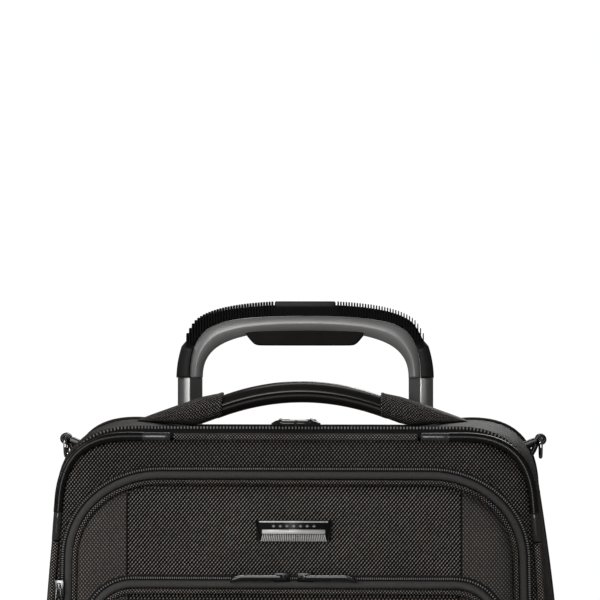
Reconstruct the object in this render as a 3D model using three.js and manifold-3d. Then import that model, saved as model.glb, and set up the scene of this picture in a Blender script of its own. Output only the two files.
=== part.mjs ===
// A softside upright suitcase: a fabric case on two rear wheels and two front feet, with a zipped
// lid, two outside pockets (one on the face of the other) and a two-stage telescoping handle.
// Millimetres. -Y is the lid side, +X is on the right when facing the lid, +Z is up.
import * as THREE from 'three';
import { mergeVertices } from 'three/addons/utils/BufferGeometryUtils.js';
import Module from 'manifold-3d';

const wasm = await Module();
wasm.setup();

// ---------------------------------------------------------------- driving dimensions
const gap = 0.3; // between pieces that touch on the real case
const centreZ = 289; // middle of the fabric case
const lidEdge = { halfWidth: 174, halfHeight: 251, y: -75 }; // centre line of the lid's piping
const pipingRadius = 2.4;
const guardRadius = 2.9;
const caseHalfWidth = 190;
const caseFront = -70.5; // front edge of the case's walls
const caseRear = 104; // rear edge of the case's walls
const wall = 4; // fabric, foam and lining together
const rearPanel = { front: 104.5, rear: 108 };
const sideHandleReach = 203; // from the middle of the case to the outside of the side handle
const wheel = { x: 150, y: 83, z: 32, radius: 32, width: 22 };
const axleRadius = 3;
const housing = { inner: 131, front: 43, rear: 111, top: 86, bottom: 22 };
const trolleyY = 93; // the handle's tubes are just inside the rear panel
const tubeX = 86.4;
const tube = { halfWidth: 9.15, halfDepth: 6.5 };
const bailDepth = 18;
const legBottom = 576.6; // lower end of the handle's grip, as it stands here
const cup = { halfWidth: 103, bottom: 484, top: 540.5, front: 81.8, rear: 104.2, wall: 1.2 };
const carryY = 35; // the top carry handle runs over the middle of the case
const pocket1 = { halfWidth: 155, top: 511, bottom: 58, rear: -81, front: -101.5 };
const pocket2 = { halfWidth: 138, top: 438, bottom: 76, rear: -101.9, front: -115 };
const zipBandWidth = 3.2;

// ---------------------------------------------------------------- materials
const paint = (color, roughness, metalness = 0) =>
  new THREE.MeshStandardMaterial({ color, roughness, metalness });
const nylon = paint('#221f1e', 0.85);
const twill = paint('#2a2827', 0.7);
const coil = paint('#151414', 0.5);
const rubber = paint('#111111', 0.45);
const hardPlastic = paint('#161616', 0.6);
const leather = paint('#171514', 0.4);
const aluminium = paint('#8c8c8e', 0.3, 1);
const pewter = paint('#6b6a69', 0.4, 0.6);
const chrome = paint('#c8c8ca', 0.12, 1);
const gunmetal = paint('#3a3a3c', 0.25, 1);
const steel = paint('#9a9a9c', 0.35, 1);
const lining = paint('#3a3a3c', 0.9);

// ---------------------------------------------------------------- geometry helpers
function toSolid(geometry) {
  const bare = geometry.clone();
  bare.deleteAttribute('normal');
  bare.deleteAttribute('uv');
  const merged = mergeVertices(bare, 1e-4);
  const mesh = new wasm.Mesh({
    numProp: 3,
    vertProperties: new Float32Array(merged.attributes.position.array),
    triVerts: new Uint32Array(merged.index.array),
  });
  return new wasm.Manifold(mesh);
}

function toGeometry(solid) {
  const mesh = solid.getMesh();
  const geometry = new THREE.BufferGeometry();
  geometry.setAttribute('position', new THREE.BufferAttribute(mesh.vertProperties, 3));
  geometry.setIndex(new THREE.BufferAttribute(mesh.triVerts, 1));
  geometry.computeVertexNormals();
  return geometry;
}

function cut(geometry, ...tools) {
  return toGeometry(tools.reduce((solid, tool) => solid.subtract(toSolid(tool)), toSolid(geometry)));
}

function join(geometry, ...others) {
  return toGeometry(others.reduce((solid, other) => solid.add(toSolid(other)), toSolid(geometry)));
}

function block(x0, x1, y0, y1, z0, z1) {
  const box = new THREE.BoxGeometry(Math.abs(x1 - x0), y1 - y0, z1 - z0);
  return box.translate((x0 + x1) / 2, (y0 + y1) / 2, (z0 + z1) / 2);
}

// A shape drawn in X and Z, given thickness from y0 to y1.
function slab(shape, y0, y1) {
  const flat = new THREE.ExtrudeGeometry(shape, { depth: y1 - y0, bevelEnabled: false, curveSegments: 6 });
  return flat.rotateX(Math.PI / 2).translate(0, y1, 0);
}

// A shape drawn in X and Y, given height from z0 to z1.
function prism(shape, z0, z1) {
  const flat = new THREE.ExtrudeGeometry(shape, { depth: z1 - z0, bevelEnabled: false, curveSegments: 6 });
  return flat.translate(0, 0, z0);
}

function rodAlongX(radius, x0, x1, y, z, sides = 16) {
  const rod = new THREE.CylinderGeometry(radius, radius, x1 - x0, sides);
  return rod.rotateZ(Math.PI / 2).translate((x0 + x1) / 2, y, z);
}

function ellipse(radiusA, radiusB, sides) {
  const points = [];
  for (let i = 0; i < sides; i++) {
    const angle = (2 * Math.PI * i) / sides;
    points.push(new THREE.Vector2(radiusA * Math.cos(angle), radiusB * Math.sin(angle)));
  }
  return new THREE.Shape(points);
}

function sweep(shape, points, steps) {
  const path = new THREE.CatmullRomCurve3(points, false, 'centripetal');
  return new THREE.ExtrudeGeometry(shape, { extrudePath: path, steps, bevelEnabled: false });
}

// A closed solid through a row of outlines, all with the same number of points, one at each y.
function loft(sections) {
  const count = sections[0].points.length;
  const positions = [];
  for (const { y, points } of sections) {
    for (const point of points) positions.push(point.x, y, point.y);
  }
  const indices = [];
  for (let section = 0; section + 1 < sections.length; section++) {
    for (let i = 0; i < count; i++) {
      const a = section * count + i;
      const b = section * count + ((i + 1) % count);
      indices.push(a, a + count, b, b, a + count, b + count);
    }
  }
  const lastRing = (sections.length - 1) * count;
  for (const [i, j, k] of THREE.ShapeUtils.triangulateShape(sections[0].points, [])) {
    indices.push(i, j, k);
    indices.push(lastRing + i, lastRing + k, lastRing + j);
  }
  const geometry = new THREE.BufferGeometry();
  geometry.setAttribute('position', new THREE.Float32BufferAttribute(positions, 3));
  geometry.setIndex(indices);
  geometry.computeVertexNormals();
  return geometry;
}

// ---------------------------------------------------------------- outlines
// One quarter of a bag outline, from its top middle to its side middle: a straight top, which may
// sag in the middle, a full corner and a side that bows out slightly on its way down.
function quarter(halfWidth, height, flat, shoulder, cornerDepth, fullness, steps, sag = 0) {
  const side = height - cornerDepth;
  const path = new THREE.Path();
  path.moveTo(0, height - sag);
  path.lineTo(flat * 0.6, height - sag);
  path.lineTo(flat, height);
  path.bezierCurveTo(
    flat + (shoulder - flat) * fullness, height,
    shoulder - 1.8, height - cornerDepth * (0.8 - 0.85 * fullness),
    shoulder, side,
  );
  path.bezierCurveTo(
    shoulder + (halfWidth - shoulder) * 0.28, side * 0.83,
    halfWidth, side * 0.44,
    halfWidth, 0,
  );
  return path.getPoints(steps);
}

// Mirrors an upper and a lower quarter into one closed outline that runs anticlockwise.
function closedOutline(upper, lower, middle) {
  const at = (point, signX, signZ) => new THREE.Vector2(signX * point.x, middle + signZ * point.y);
  const left = upper.slice(0, -1).map((point) => at(point, -1, 1));
  const lowerLeft = lower.slice(1).reverse().map((point) => at(point, -1, -1));
  const lowerRight = lower.slice(1, -1).map((point) => at(point, 1, -1));
  const right = upper.slice(1).reverse().map((point) => at(point, 1, 1));
  return [...left, ...lowerLeft, ...lowerRight, ...right];
}

// The case's own outline. shoulder is its half width at the lower end of its top corners. Only its
// top sags, and the top may stand lower than the bottom does below the middle.
function caseOutline(halfWidth, halfHeight, options = {}) {
  const { steps = 6, sag = 0, topHeight = halfHeight } = options;
  const { shoulder = (halfWidth * 163.8) / lidEdge.halfWidth } = options;
  const part = (height, drop) => {
    const corner = 46 * (height / lidEdge.halfHeight);
    return quarter(halfWidth, height, shoulder - 47.8, shoulder, corner, 0.607, steps, drop);
  };
  return closedOutline(part(topHeight, sag), part(halfHeight, 0), centreZ);
}

// A pocket's outline: wide round corners at the top and tighter ones at the bottom.
function pocketOutline(pocket, inset, cornerDepth) {
  const halfWidth = pocket.halfWidth - inset;
  const middle = (pocket.top + pocket.bottom) / 2;
  const height = (pocket.top - pocket.bottom) / 2 - inset;
  const corner = cornerDepth - inset;
  const upper = quarter(halfWidth, height, halfWidth - corner * 1.2, halfWidth - 2, corner, 0.5, 5);
  const lower = quarter(halfWidth, height, halfWidth - 24, halfWidth - 2, 22, 0.5, 3);
  return closedOutline(upper, lower, middle);
}

// A thin upside-down U that follows an outline: a zip's tape and coil, open along the bottom.
function zipBand(outer, inner, y0, y1, bottom) {
  const ring = new THREE.Shape(outer);
  ring.holes.push(new THREE.Path(inner));
  return cut(slab(ring, y0, y1), block(-250, 250, y0 - 5, y1 + 5, -50, bottom));
}

// ---------------------------------------------------------------- scene graph
const suitcase = new THREE.Group();
// The side handle sticks out on one side only, so the whole case moves over to stay centred.
suitcase.position.x = -(sideHandleReach - caseHalfWidth) / 2;

function add(name, geometry, material) {
  const mesh = new THREE.Mesh(geometry, material);
  mesh.name = name;
  suitcase.add(mesh);
}

const sides = [['left', -1], ['right', 1]];
const mirrored = (side, geometry) => (side > 0 ? geometry : toGeometry(toSolid(geometry).mirror([1, 0, 0])));

// ---------------------------------------------------------------- case walls
// The walls swell outwards between the front edge and the rear edge, as a soft case does. The top
// sags between its corners, and steps down at the back, where the trolley handle's cup is.
const wallStations = [
  { y: caseFront, halfWidth: 176, shoulder: 165.8, halfHeight: 253, topHeight: 253, sag: 0 },
  { y: -58, halfWidth: 180, shoulder: 168, halfHeight: 256, topHeight: 256, sag: 2.5 },
  { y: 10, halfWidth: 189, shoulder: 170.6, halfHeight: 257.5, topHeight: 257.5, sag: 4.5 },
  { y: 62, halfWidth: caseHalfWidth, shoulder: 171, halfHeight: 257.5, topHeight: 257.5, sag: 5.5 },
  { y: 77, halfWidth: 188.5, shoulder: 170, halfHeight: 256, topHeight: 248.9, sag: 0 },
  { y: caseRear, halfWidth: 183, shoulder: 167, halfHeight: 254, topHeight: 248.5, sag: 0 },
];

function caseSolid(grow, endGrow) {
  const last = wallStations.length - 1;
  return loft(wallStations.map(({ y, halfWidth, shoulder, halfHeight, topHeight, sag }, i) => ({
    y: y + (i === 0 ? -endGrow : 0) + (i === last ? endGrow : 0),
    points: caseOutline(halfWidth + grow, halfHeight + grow, {
      sag,
      shoulder: shoulder + grow,
      topHeight: topHeight + grow,
    }),
  })));
}

function housingRoom(side) {
  return block(side * (housing.inner - gap), side * 220, housing.front - gap, 130, -10, housing.top + gap);
}

function mainGusset() {
  const handleSlot = block(-cup.halfWidth - gap, cup.halfWidth + gap, cup.front - gap, 130, 500, 600);
  return cut(
    caseSolid(0, 0),
    caseSolid(-wall, 2),
    housingRoom(-1),
    housingRoom(1),
    handleSlot,
  );
}

function rearPanelPlate() {
  const outline = new THREE.Shape(caseOutline(181.5, 253.5, { shoulder: 165.5, topHeight: 244.4 }));
  const plate = slab(outline, rearPanel.front, rearPanel.rear);
  return cut(plate, housingRoom(-1), housingRoom(1));
}

function liningPanel() {
  const outline = new THREE.Shape(caseOutline(182, 249.5, { shoulder: 165.2, topHeight: 244.5 }));
  const plate = slab(outline, 79.5, 81.2);
  return cut(plate, housingRoom(-1), housingRoom(1));
}

function innerFrame() {
  const band = new THREE.Shape(caseOutline(184.3, 252.9, { shoulder: 165.8, sag: 5.2 }));
  band.holes.push(new THREE.Path(caseOutline(182.3, 250.9, { shoulder: 163.8, sag: 5.2 })));
  return slab(band, 6, 40);
}

function rearPiping() {
  const outline = caseOutline(185.8, 257.8, { steps: 8, shoulder: 169.8, topHeight: 248.6 });
  const edge = outline.filter((point) => point.y > housing.top + 6);
  const start = edge.findIndex((point, i) => i > 0 && point.distanceTo(edge[i - 1]) > 150 && point.y < 150);
  const route = [...edge.slice(start), ...edge.slice(0, start)];
  const points = route.map((point) => new THREE.Vector3(point.x, 107.4, point.y));
  return sweep(ellipse(2.6, 2.6, 6), points, 44);
}

// One half of the main zip: its tape and coil, around all but the bottom of an outline.
function mainZipHalf(halfWidth, halfHeight, y0, y1) {
  const width = 5;
  const inner = caseOutline(halfWidth - width, halfHeight - width);
  return zipBand(caseOutline(halfWidth, halfHeight), inner, y0, y1, 74);
}

add('main_gusset', mainGusset(), nylon);
add('rear_panel', rearPanelPlate(), nylon);
add('lining_panel', liningPanel(), lining);
add('inner_frame', innerFrame(), hardPlastic);
add('rear_piping', rearPiping(), rubber);
add('main_zipper_case_side', mainZipHalf(175.6, 252.4, -71.7, caseFront - gap), coil);

// ---------------------------------------------------------------- wheels, feet and kick plate
function wheelHousing() {
  const front = new THREE.Shape();
  front.moveTo(housing.inner, housing.bottom);
  front.lineTo(158, housing.bottom);
  front.quadraticCurveTo(174, 26, 178, 50);
  front.lineTo(181, housing.top);
  front.lineTo(housing.inner, housing.top);
  front.closePath();
  const room = wheel.width / 2 + 2.5;
  const well = rodAlongX(wheel.radius + 4, wheel.x - room, wheel.x + room, wheel.y, wheel.z, 28);
  const mouth = block(
    wheel.x - room, wheel.x + room,
    wheel.y - wheel.radius - 4, wheel.y + wheel.radius + 4,
    0, wheel.z,
  );
  const axleHole = rodAlongX(axleRadius + gap, housing.inner - 5, 168.5, wheel.y, wheel.z, 12);
  return cut(slab(front, housing.front, housing.rear), well, mouth, axleHole);
}

function wheelTyre() {
  const half = wheel.width / 2;
  const profile = [[20.3, -half + 1], [29, -half], [32, -half + 4], [32, half - 4], [29, half], [20.3, half - 1]];
  return turned([...profile, profile[0]], 32);
}

function wheelHub() {
  const profile = [[3.4, -10.5], [7, -10.5], [9, -6], [17, -6], [20, -9.5], [20, 9.5], [17, 6], [9, 6],
    [7, 10.5], [3.4, 10.5]];
  return turned([...profile, profile[0]], 20);
}

// A ring turned about the wheel's own axis from a profile of radius and distance along the axle.
function turned(profile, steps) {
  const points = profile.map(([radius, along]) => new THREE.Vector2(radius, along));
  return new THREE.LatheGeometry(points, steps).rotateZ(-Math.PI / 2).translate(wheel.x, wheel.y, wheel.z);
}

function frontFoot() {
  const foot = new THREE.Shape();
  foot.moveTo(96, 0);
  foot.lineTo(126, 0);
  foot.lineTo(134, 10);
  foot.lineTo(136, 48);
  foot.lineTo(88, 48);
  foot.lineTo(90, 8);
  foot.closePath();
  return cut(slab(foot, -64, -34), caseSolid(gap, 1));
}

function kickPlate() {
  const plate = new THREE.Shape();
  plate.moveTo(-124, 44);
  plate.quadraticCurveTo(-124, 38, -118, 38);
  plate.lineTo(118, 38);
  plate.quadraticCurveTo(124, 38, 124, 44);
  plate.lineTo(124, 92);
  plate.quadraticCurveTo(124, 108, 108, 108);
  plate.lineTo(-108, 108);
  plate.quadraticCurveTo(-124, 108, -124, 92);
  plate.closePath();
  return slab(plate, rearPanel.rear + gap, 111.5);
}

for (const [word, side] of sides) {
  add(`wheel_housing_${word}`, mirrored(side, wheelHousing()), hardPlastic);
  add(`axle_${word}`, mirrored(side, rodAlongX(axleRadius, 132, 168, wheel.y, wheel.z, 12)), steel);
  add(`wheel_tyre_${word}`, mirrored(side, wheelTyre()), rubber);
  add(`wheel_hub_${word}`, mirrored(side, wheelHub()), gunmetal);
  add(`front_foot_${word}`, mirrored(side, frontFoot()), hardPlastic);
}
add('kick_plate', kickPlate(), hardPlastic);

// ---------------------------------------------------------------- telescoping handle
// The tube's section: a ridge down the front, a rounded outer face, a flat inner face and a
// flat back. Each stage is the same section at another scale.
function tubeSection(scale) {
  const w = tube.halfWidth * scale;
  const d = tube.halfDepth * scale;
  const outline = new THREE.Path();
  outline.moveTo(0, -d);
  outline.quadraticCurveTo(w * 0.85, -d * 0.85, w, d * 0.2);
  outline.lineTo(w, d * 0.6);
  outline.quadraticCurveTo(w, d, w * 0.7, d);
  outline.lineTo(-w * 0.7, d);
  outline.quadraticCurveTo(-w, d, -w, d * 0.6);
  outline.lineTo(-w, d * 0.1);
  outline.closePath();
  return outline.getPoints(4);
}

function hollowTube(outerScale, innerScale, z0, z1) {
  const section = new THREE.Shape(tubeSection(outerScale));
  section.holes.push(new THREE.Path(tubeSection(innerScale)));
  return prism(section, z0, z1).translate(tubeX, trolleyY, 0);
}

function handleCup() {
  const inside = cup.wall;
  const floor = 3;
  const shell = join(
    block(-cup.halfWidth, cup.halfWidth, cup.front, cup.rear, cup.bottom, cup.top),
    block(-cup.halfWidth - 6, cup.halfWidth + 6, cup.front - 4, cup.rear, cup.top - 2.3, cup.top),
  );
  const hollow = block(
    -cup.halfWidth + inside, cup.halfWidth - inside,
    cup.front + inside, cup.rear - inside,
    cup.bottom + floor, cup.top + 5,
  );
  const hole = prism(new THREE.Shape(tubeSection(1.28)), cup.bottom - 5, cup.bottom + 10);
  const right = hole.clone().translate(tubeX, trolleyY, 0);
  return cut(shell, hollow, right, mirrored(-1, right));
}

function baseBracket() {
  const bracket = new THREE.Shape();
  bracket.moveTo(-104, 44);
  bracket.lineTo(104, 44);
  bracket.lineTo(104, 56);
  bracket.lineTo(70, 56);
  bracket.lineTo(60, 50);
  bracket.lineTo(-60, 50);
  bracket.lineTo(-70, 56);
  bracket.lineTo(-104, 56);
  bracket.closePath();
  return slab(bracket, 83, 103);
}

// One edge of the arched grip, from the foot of its right leg up and over to the left leg.
function bailArch(foot, legControls, shoulder, crownControls, crown) {
  const path = new THREE.Path();
  path.moveTo(foot, legBottom);
  path.bezierCurveTo(...legControls, ...shoulder);
  path.bezierCurveTo(...crownControls, 0, crown);
  const right = path.getPoints(8);
  const left = right.slice(0, -1).reverse().map((point) => new THREE.Vector2(-point.x, point.y));
  return [...right, ...left];
}

// Moves an open line of points sideways: a positive distance is towards the outside of the arch.
function offsetLine(points, distance) {
  return points.map((point, i) => {
    const before = points[Math.max(i - 1, 0)];
    const after = points[Math.min(i + 1, points.length - 1)];
    const along = after.clone().sub(before).normalize();
    return new THREE.Vector2(point.x + along.y * distance, point.y - along.x * distance);
  });
}

const bailOuter = bailArch(96, [96, 592, 90.5, 608], [83, 618.5], [75, 627.5, 52, 634], 634);
const bailRidge = bailArch(86.2, [86.2, 592, 83.5, 601], [77, 609.5], [69.5, 619, 48, 622.5], 622.5);
const bailInner = bailArch(77.1, [77.3, 588, 72.5, 594.5], [66.5, 599], [56, 606.5, 35, 611.5], 611.5);

function bailBand(outer, inner, depth) {
  const band = new THREE.Shape([...outer, ...[...inner].reverse()]);
  return slab(band, trolleyY - depth / 2, trolleyY + depth / 2);
}

function bailPad() {
  const top = offsetLine(bailInner, -gap).filter((point) => Math.abs(point.x) < 47);
  const shape = new THREE.Shape([...top, new THREE.Vector2(-39, 600.5), new THREE.Vector2(39, 600.5)]);
  return slab(shape, trolleyY - 8, trolleyY + 8);
}

const button = { halfWidth: 22.6, halfDepth: 6, bottom: 628.7, top: 633.6, travel: 3.5 };

function bailRubber() {
  const buttonWell = block(
    -button.halfWidth - gap * 2, button.halfWidth + gap * 2,
    trolleyY - button.halfDepth - gap * 2, trolleyY + button.halfDepth + gap * 2,
    button.bottom - button.travel - gap, 650,
  );
  return cut(bailBand(bailOuter, bailRidge, bailDepth), buttonWell);
}

function releaseButton() {
  return block(
    -button.halfWidth, button.halfWidth,
    trolleyY - button.halfDepth, trolleyY + button.halfDepth,
    button.bottom, button.top,
  );
}

for (const [word, side] of sides) {
  add(`trolley_outer_tube_${word}`, mirrored(side, hollowTube(1.4, 1.28, 56.5, 483.5)), steel);
  add(`trolley_lower_tube_${word}`, mirrored(side, hollowTube(1.2, 1.08, 160, 490)), aluminium);
  add(`trolley_upper_tube_${word}`, mirrored(side, hollowTube(1, 0.84, 240, legBottom - gap)), aluminium);
}
add('trolley_handle_cup', handleCup(), hardPlastic);
add('trolley_base_bracket', baseBracket(), hardPlastic);
add('trolley_grip_core', bailBand(offsetLine(bailRidge, -gap), bailInner, 16), pewter);
add('trolley_grip_rubber', bailRubber(), rubber);
add('trolley_grip_pad', bailPad(), leather);
add('release_button', releaseButton(), hardPlastic);

// ---------------------------------------------------------------- carry handles and D-rings
function carryGrip() {
  const points = [];
  for (let i = -6; i <= 6; i++) {
    const across = i / 6;
    points.push(new THREE.Vector3(54.6 * across, carryY, 567.5 - 9.3 * across * across));
  }
  return sweep(ellipse(12, 8, 12), points, 12);
}

function carrySleeve() {
  const side = new THREE.Shape();
  side.moveTo(58.3, 550.2);
  side.lineTo(71, 544.9);
  side.lineTo(80, 543.1);
  side.lineTo(119, 547);
  side.lineTo(108, 551.6);
  side.lineTo(90, 558);
  side.lineTo(72, 564);
  side.lineTo(58.3, 566.8);
  side.closePath();
  return slab(side, carryY - 12.5, carryY + 12.5);
}

// A padded strap that stands off the case's right wall between two sewn ends.
function sideHandle() {
  const low = 205;
  const high = 373;
  const outer = sideHandleReach;
  const strap = new THREE.Shape();
  strap.moveTo(190.5, low);
  strap.lineTo(193, low);
  strap.quadraticCurveTo(outer, low + 22, outer, low + 48);
  strap.lineTo(outer, high - 48);
  strap.quadraticCurveTo(outer, high - 22, 193, high);
  strap.lineTo(190.5, high);
  strap.lineTo(190.5, high - 22);
  strap.quadraticCurveTo(outer - 6, high - 40, outer - 6, high - 62);
  strap.lineTo(outer - 6, low + 62);
  strap.quadraticCurveTo(outer - 6, low + 40, 190.5, low + 22);
  strap.closePath();
  return slab(strap, 6, 34);
}

const ring = { x: 173.5, z: 533, y: 45, halfWidth: 7, drop: 13, wire: 1.4 };

function ringLoop() {
  const tab = block(152, ring.x + 3.4, ring.y - 4, ring.y + 4, ring.z - 3.4, ring.z + 3.4);
  const eye = new THREE.CylinderGeometry(ring.wire + gap, ring.wire + gap, 30, 10);
  return cut(tab, caseSolid(gap, 1), eye.translate(ring.x, ring.y, ring.z));
}

// A D-shaped wire ring that hangs from its straight bar, which lies in the loop.
function dRing() {
  const points = [];
  const steps = 10;
  for (let i = 0; i <= steps; i++) {
    const angle = Math.PI * (i / steps);
    points.push(new THREE.Vector3(
      ring.x,
      ring.y - ring.halfWidth * Math.cos(angle),
      ring.z - ring.drop * Math.sin(angle),
    ));
  }
  const bow = sweep(ellipse(ring.wire, ring.wire, 6), points, 12);
  const bar = new THREE.CylinderGeometry(ring.wire, ring.wire, 2 * ring.halfWidth + 2, 8);
  return join(bow, bar.translate(ring.x, ring.y, ring.z));
}

add('carry_handle_grip', carryGrip(), leather);
add('side_handle', sideHandle(), leather);
for (const [word, side] of sides) {
  add(`carry_handle_sleeve_${word}`, mirrored(side, carrySleeve()), nylon);
  add(`ring_loop_${word}`, mirrored(side, ringLoop()), leather);
  add(`d_ring_${word}`, mirrored(side, dRing()), chrome);
}

// ---------------------------------------------------------------- lid
const guard = { inner: 84.3, lower: 469.7 }; // where the corner guard starts and ends

function lidPanel() {
  return slab(new THREE.Shape(caseOutline(171, 248)), -80.5, -74.1);
}

// The part of the lid's edge, as a line in space, that a test picks out.
function lidEdgeRoute(keep) {
  const outline = caseOutline(lidEdge.halfWidth, lidEdge.halfHeight, { steps: 16 });
  return outline.filter(keep).map((point) => new THREE.Vector3(point.x, lidEdge.y, point.y));
}

function pipingTop() {
  const z = centreZ + lidEdge.halfHeight;
  return rodAlongX(pipingRadius, -guard.inner + gap, guard.inner - gap, lidEdge.y, z, 8);
}

function pipingSides() {
  return sweep(
    ellipse(pipingRadius, pipingRadius, 6),
    lidEdgeRoute((point) => point.y < guard.lower - 2),
    46,
  );
}

function cornerGuard() {
  const corner = lidEdgeRoute((point) => point.x > 92 && point.y > guard.lower + 2).reverse();
  const top = new THREE.Vector3(guard.inner, lidEdge.y, centreZ + lidEdge.halfHeight);
  return sweep(ellipse(guardRadius, guardRadius, 8), [top, ...corner], 18);
}

add('lid_panel', lidPanel(), nylon);
add('lid_piping_top', pipingTop(), twill);
add('lid_piping_sides', pipingSides(), twill);
add('main_zipper_lid_side', mainZipHalf(170.7, 247.7, -73.8, -72.1), coil);
for (const [word, side] of sides) add(`corner_guard_${word}`, mirrored(side, cornerGuard()), rubber);

// ---------------------------------------------------------------- pockets
const cornerDepth1 = 52;
const cornerDepth2 = 24;

// A shallow fabric tray, open at the back, whose front edges are rounded over.
function pocketTray(pocket, cornerDepth) {
  const depth = pocket.rear - pocket.front;
  const skin = 2.6;
  const outside = [[pocket.front, 9], [pocket.front + 1.8, 5], [pocket.front + depth * 0.4, 1.2], [pocket.rear, 0]];
  const inside = [[pocket.front + skin, 11], [pocket.front + depth * 0.5, 4], [pocket.rear + 2, 3.2]];
  const shell = (stations) => loft(stations.map(([y, inset]) => (
    { y, points: pocketOutline(pocket, inset, cornerDepth) }
  )));
  return cut(shell(outside), shell(inside));
}

function pocketZip(pocket, cornerDepth, nearInset, farInset, y0, y1) {
  return zipBand(
    pocketOutline(pocket, farInset, cornerDepth),
    pocketOutline(pocket, nearInset, cornerDepth),
    y0, y1, pocket.bottom + 26,
  );
}

const bandOuter = -gap - zipBandWidth;
const tapeInner = bandOuter - gap;
const tapeOuter = tapeInner - zipBandWidth;
add('pocket_1_zip_frame', pocketZip(pocket1, cornerDepth1, tapeInner, tapeOuter, -82.8, -80.8), coil);
add('pocket_1_panel', pocketTray(pocket1, cornerDepth1), nylon);
add('pocket_1_zip_band', pocketZip(pocket1, cornerDepth1, -gap, bandOuter, -84, -81.2), twill);
add('pocket_2_panel', pocketTray(pocket2, cornerDepth2), nylon);
add('pocket_2_zip_band', pocketZip(pocket2, cornerDepth2, -gap, bandOuter, -104.4, -102), twill);

// ---------------------------------------------------------------- badge
function badgeFrame() {
  const frame = new THREE.Shape();
  frame.moveTo(-26, 484.7);
  frame.lineTo(-23, 470.5);
  frame.lineTo(23, 470.5);
  frame.lineTo(26, 484.7);
  frame.closePath();
  return cut(slab(frame, -103.8, -101.8), block(-21.8, 21.8, -110, -102.8, 471.8, 483.2));
}

add('badge_frame', badgeFrame(), gunmetal);
add('badge_plate', block(-21.5, 21.5, -104.6, -103.1, 472.1, 482.9), chrome);

// ---------------------------------------------------------------- zip sliders and their pulls
// Pocket 2: two sliders meet at the middle of the top edge. Their pulls lie flat, pointing apart,
// and turn about upright pins.
const slider2 = { middle: 8, halfLength: 5.5, z: 446, halfHeight: 4, rear: -102.2, thickness: 2.6 };
const pullTail = 0.6; // how far a pull reaches past its pin

function pocket2Slider() {
  const { middle, halfLength, z, halfHeight, rear, thickness } = slider2;
  const front = rear - thickness;
  return join(
    block(middle - halfLength, middle + halfLength, front, rear, z - halfHeight, z + halfHeight),
    block(middle - 2.5, middle + 2.5, front - 1.6, front + 0.5, z - 1.4, z + 1.4),
  );
}

function pocket2Pull() {
  const { middle, z, rear, thickness } = slider2;
  const front = rear - thickness - 1.9;
  const tab = block(middle - pullTail, 43, front - 1.6, front, z - 3, z + 3);
  const eye = block(middle + 9, 43 - 6, front - 3, front + 1, z - 1, z + 1);
  return cut(tab, eye);
}

// Pocket 1: one slider stands on the straight left side of its zip, and its pull hangs down.
const slider1 = { x: -162.5, z: 436, rear: -83.2, thickness: 2.6, halfWidth: 3.6, halfHeight: 6 };

function pocket1Slider() {
  const { x, z, rear, thickness, halfWidth, halfHeight } = slider1;
  const front = rear - thickness;
  return join(
    block(x - halfWidth, x + halfWidth, front, rear, z - halfHeight, z + halfHeight),
    block(x - 1.4, x + 1.4, front - 1.6, front + 0.5, z - 2.5, z + 2.5),
  );
}

function pocket1Pull() {
  const { x, z, rear, thickness } = slider1;
  const front = rear - thickness - 1.9;
  const tab = block(x - 3, x + 3, front - 1.6, front, z - 34, z + pullTail);
  const eye = block(x - 1, x + 1, front - 3, front + 1, z - 28, z - 9);
  return cut(tab, eye);
}

// Main zip: two low oval sliders meet over the middle of the case. Their pulls lie back over it.
const mainSlider = { length: 17, bottom: 546.6, top: 552, front: -75, rear: -61 };
const swingRoom = 0.6; // between a slider and its pull, so that the pull's corners clear it as it lifts

function mainZipSlider() {
  const { length, bottom, top, front, rear } = mainSlider;
  const profile = new THREE.Shape();
  profile.moveTo(gap, bottom);
  profile.lineTo(length, bottom);
  profile.quadraticCurveTo(length - 1, top - 0.6, 0.55 * length, top - 0.3);
  profile.lineTo(gap, top);
  profile.closePath();
  return slab(profile, front, rear);
}

function mainZipPull() {
  return block(5.5, 13, mainSlider.rear + swingRoom, -34, 548.4, 550.6);
}

for (const [word, side] of sides) {
  add(`pocket_2_slider_${word}`, mirrored(side, pocket2Slider()), gunmetal);
  add(`pocket_2_pull_${word}`, mirrored(side, pocket2Pull()), gunmetal);
  add(`main_zip_slider_${word}`, mirrored(side, mainZipSlider()), gunmetal);
  add(`main_zip_pull_${word}`, mirrored(side, mainZipPull()), gunmetal);
}
add('pocket_1_slider', pocket1Slider(), chrome);
add('pocket_1_pull', pocket1Pull(), chrome);

export default suitcase;
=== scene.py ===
"""Looks for the softside upright suitcase: fabric, piping, zips, handles, wheels, camera and lights.

Pieces are drawn in millimetres about the case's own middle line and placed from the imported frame.
X runs to the right, Y to the back and Z up.
"""
import math

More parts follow.
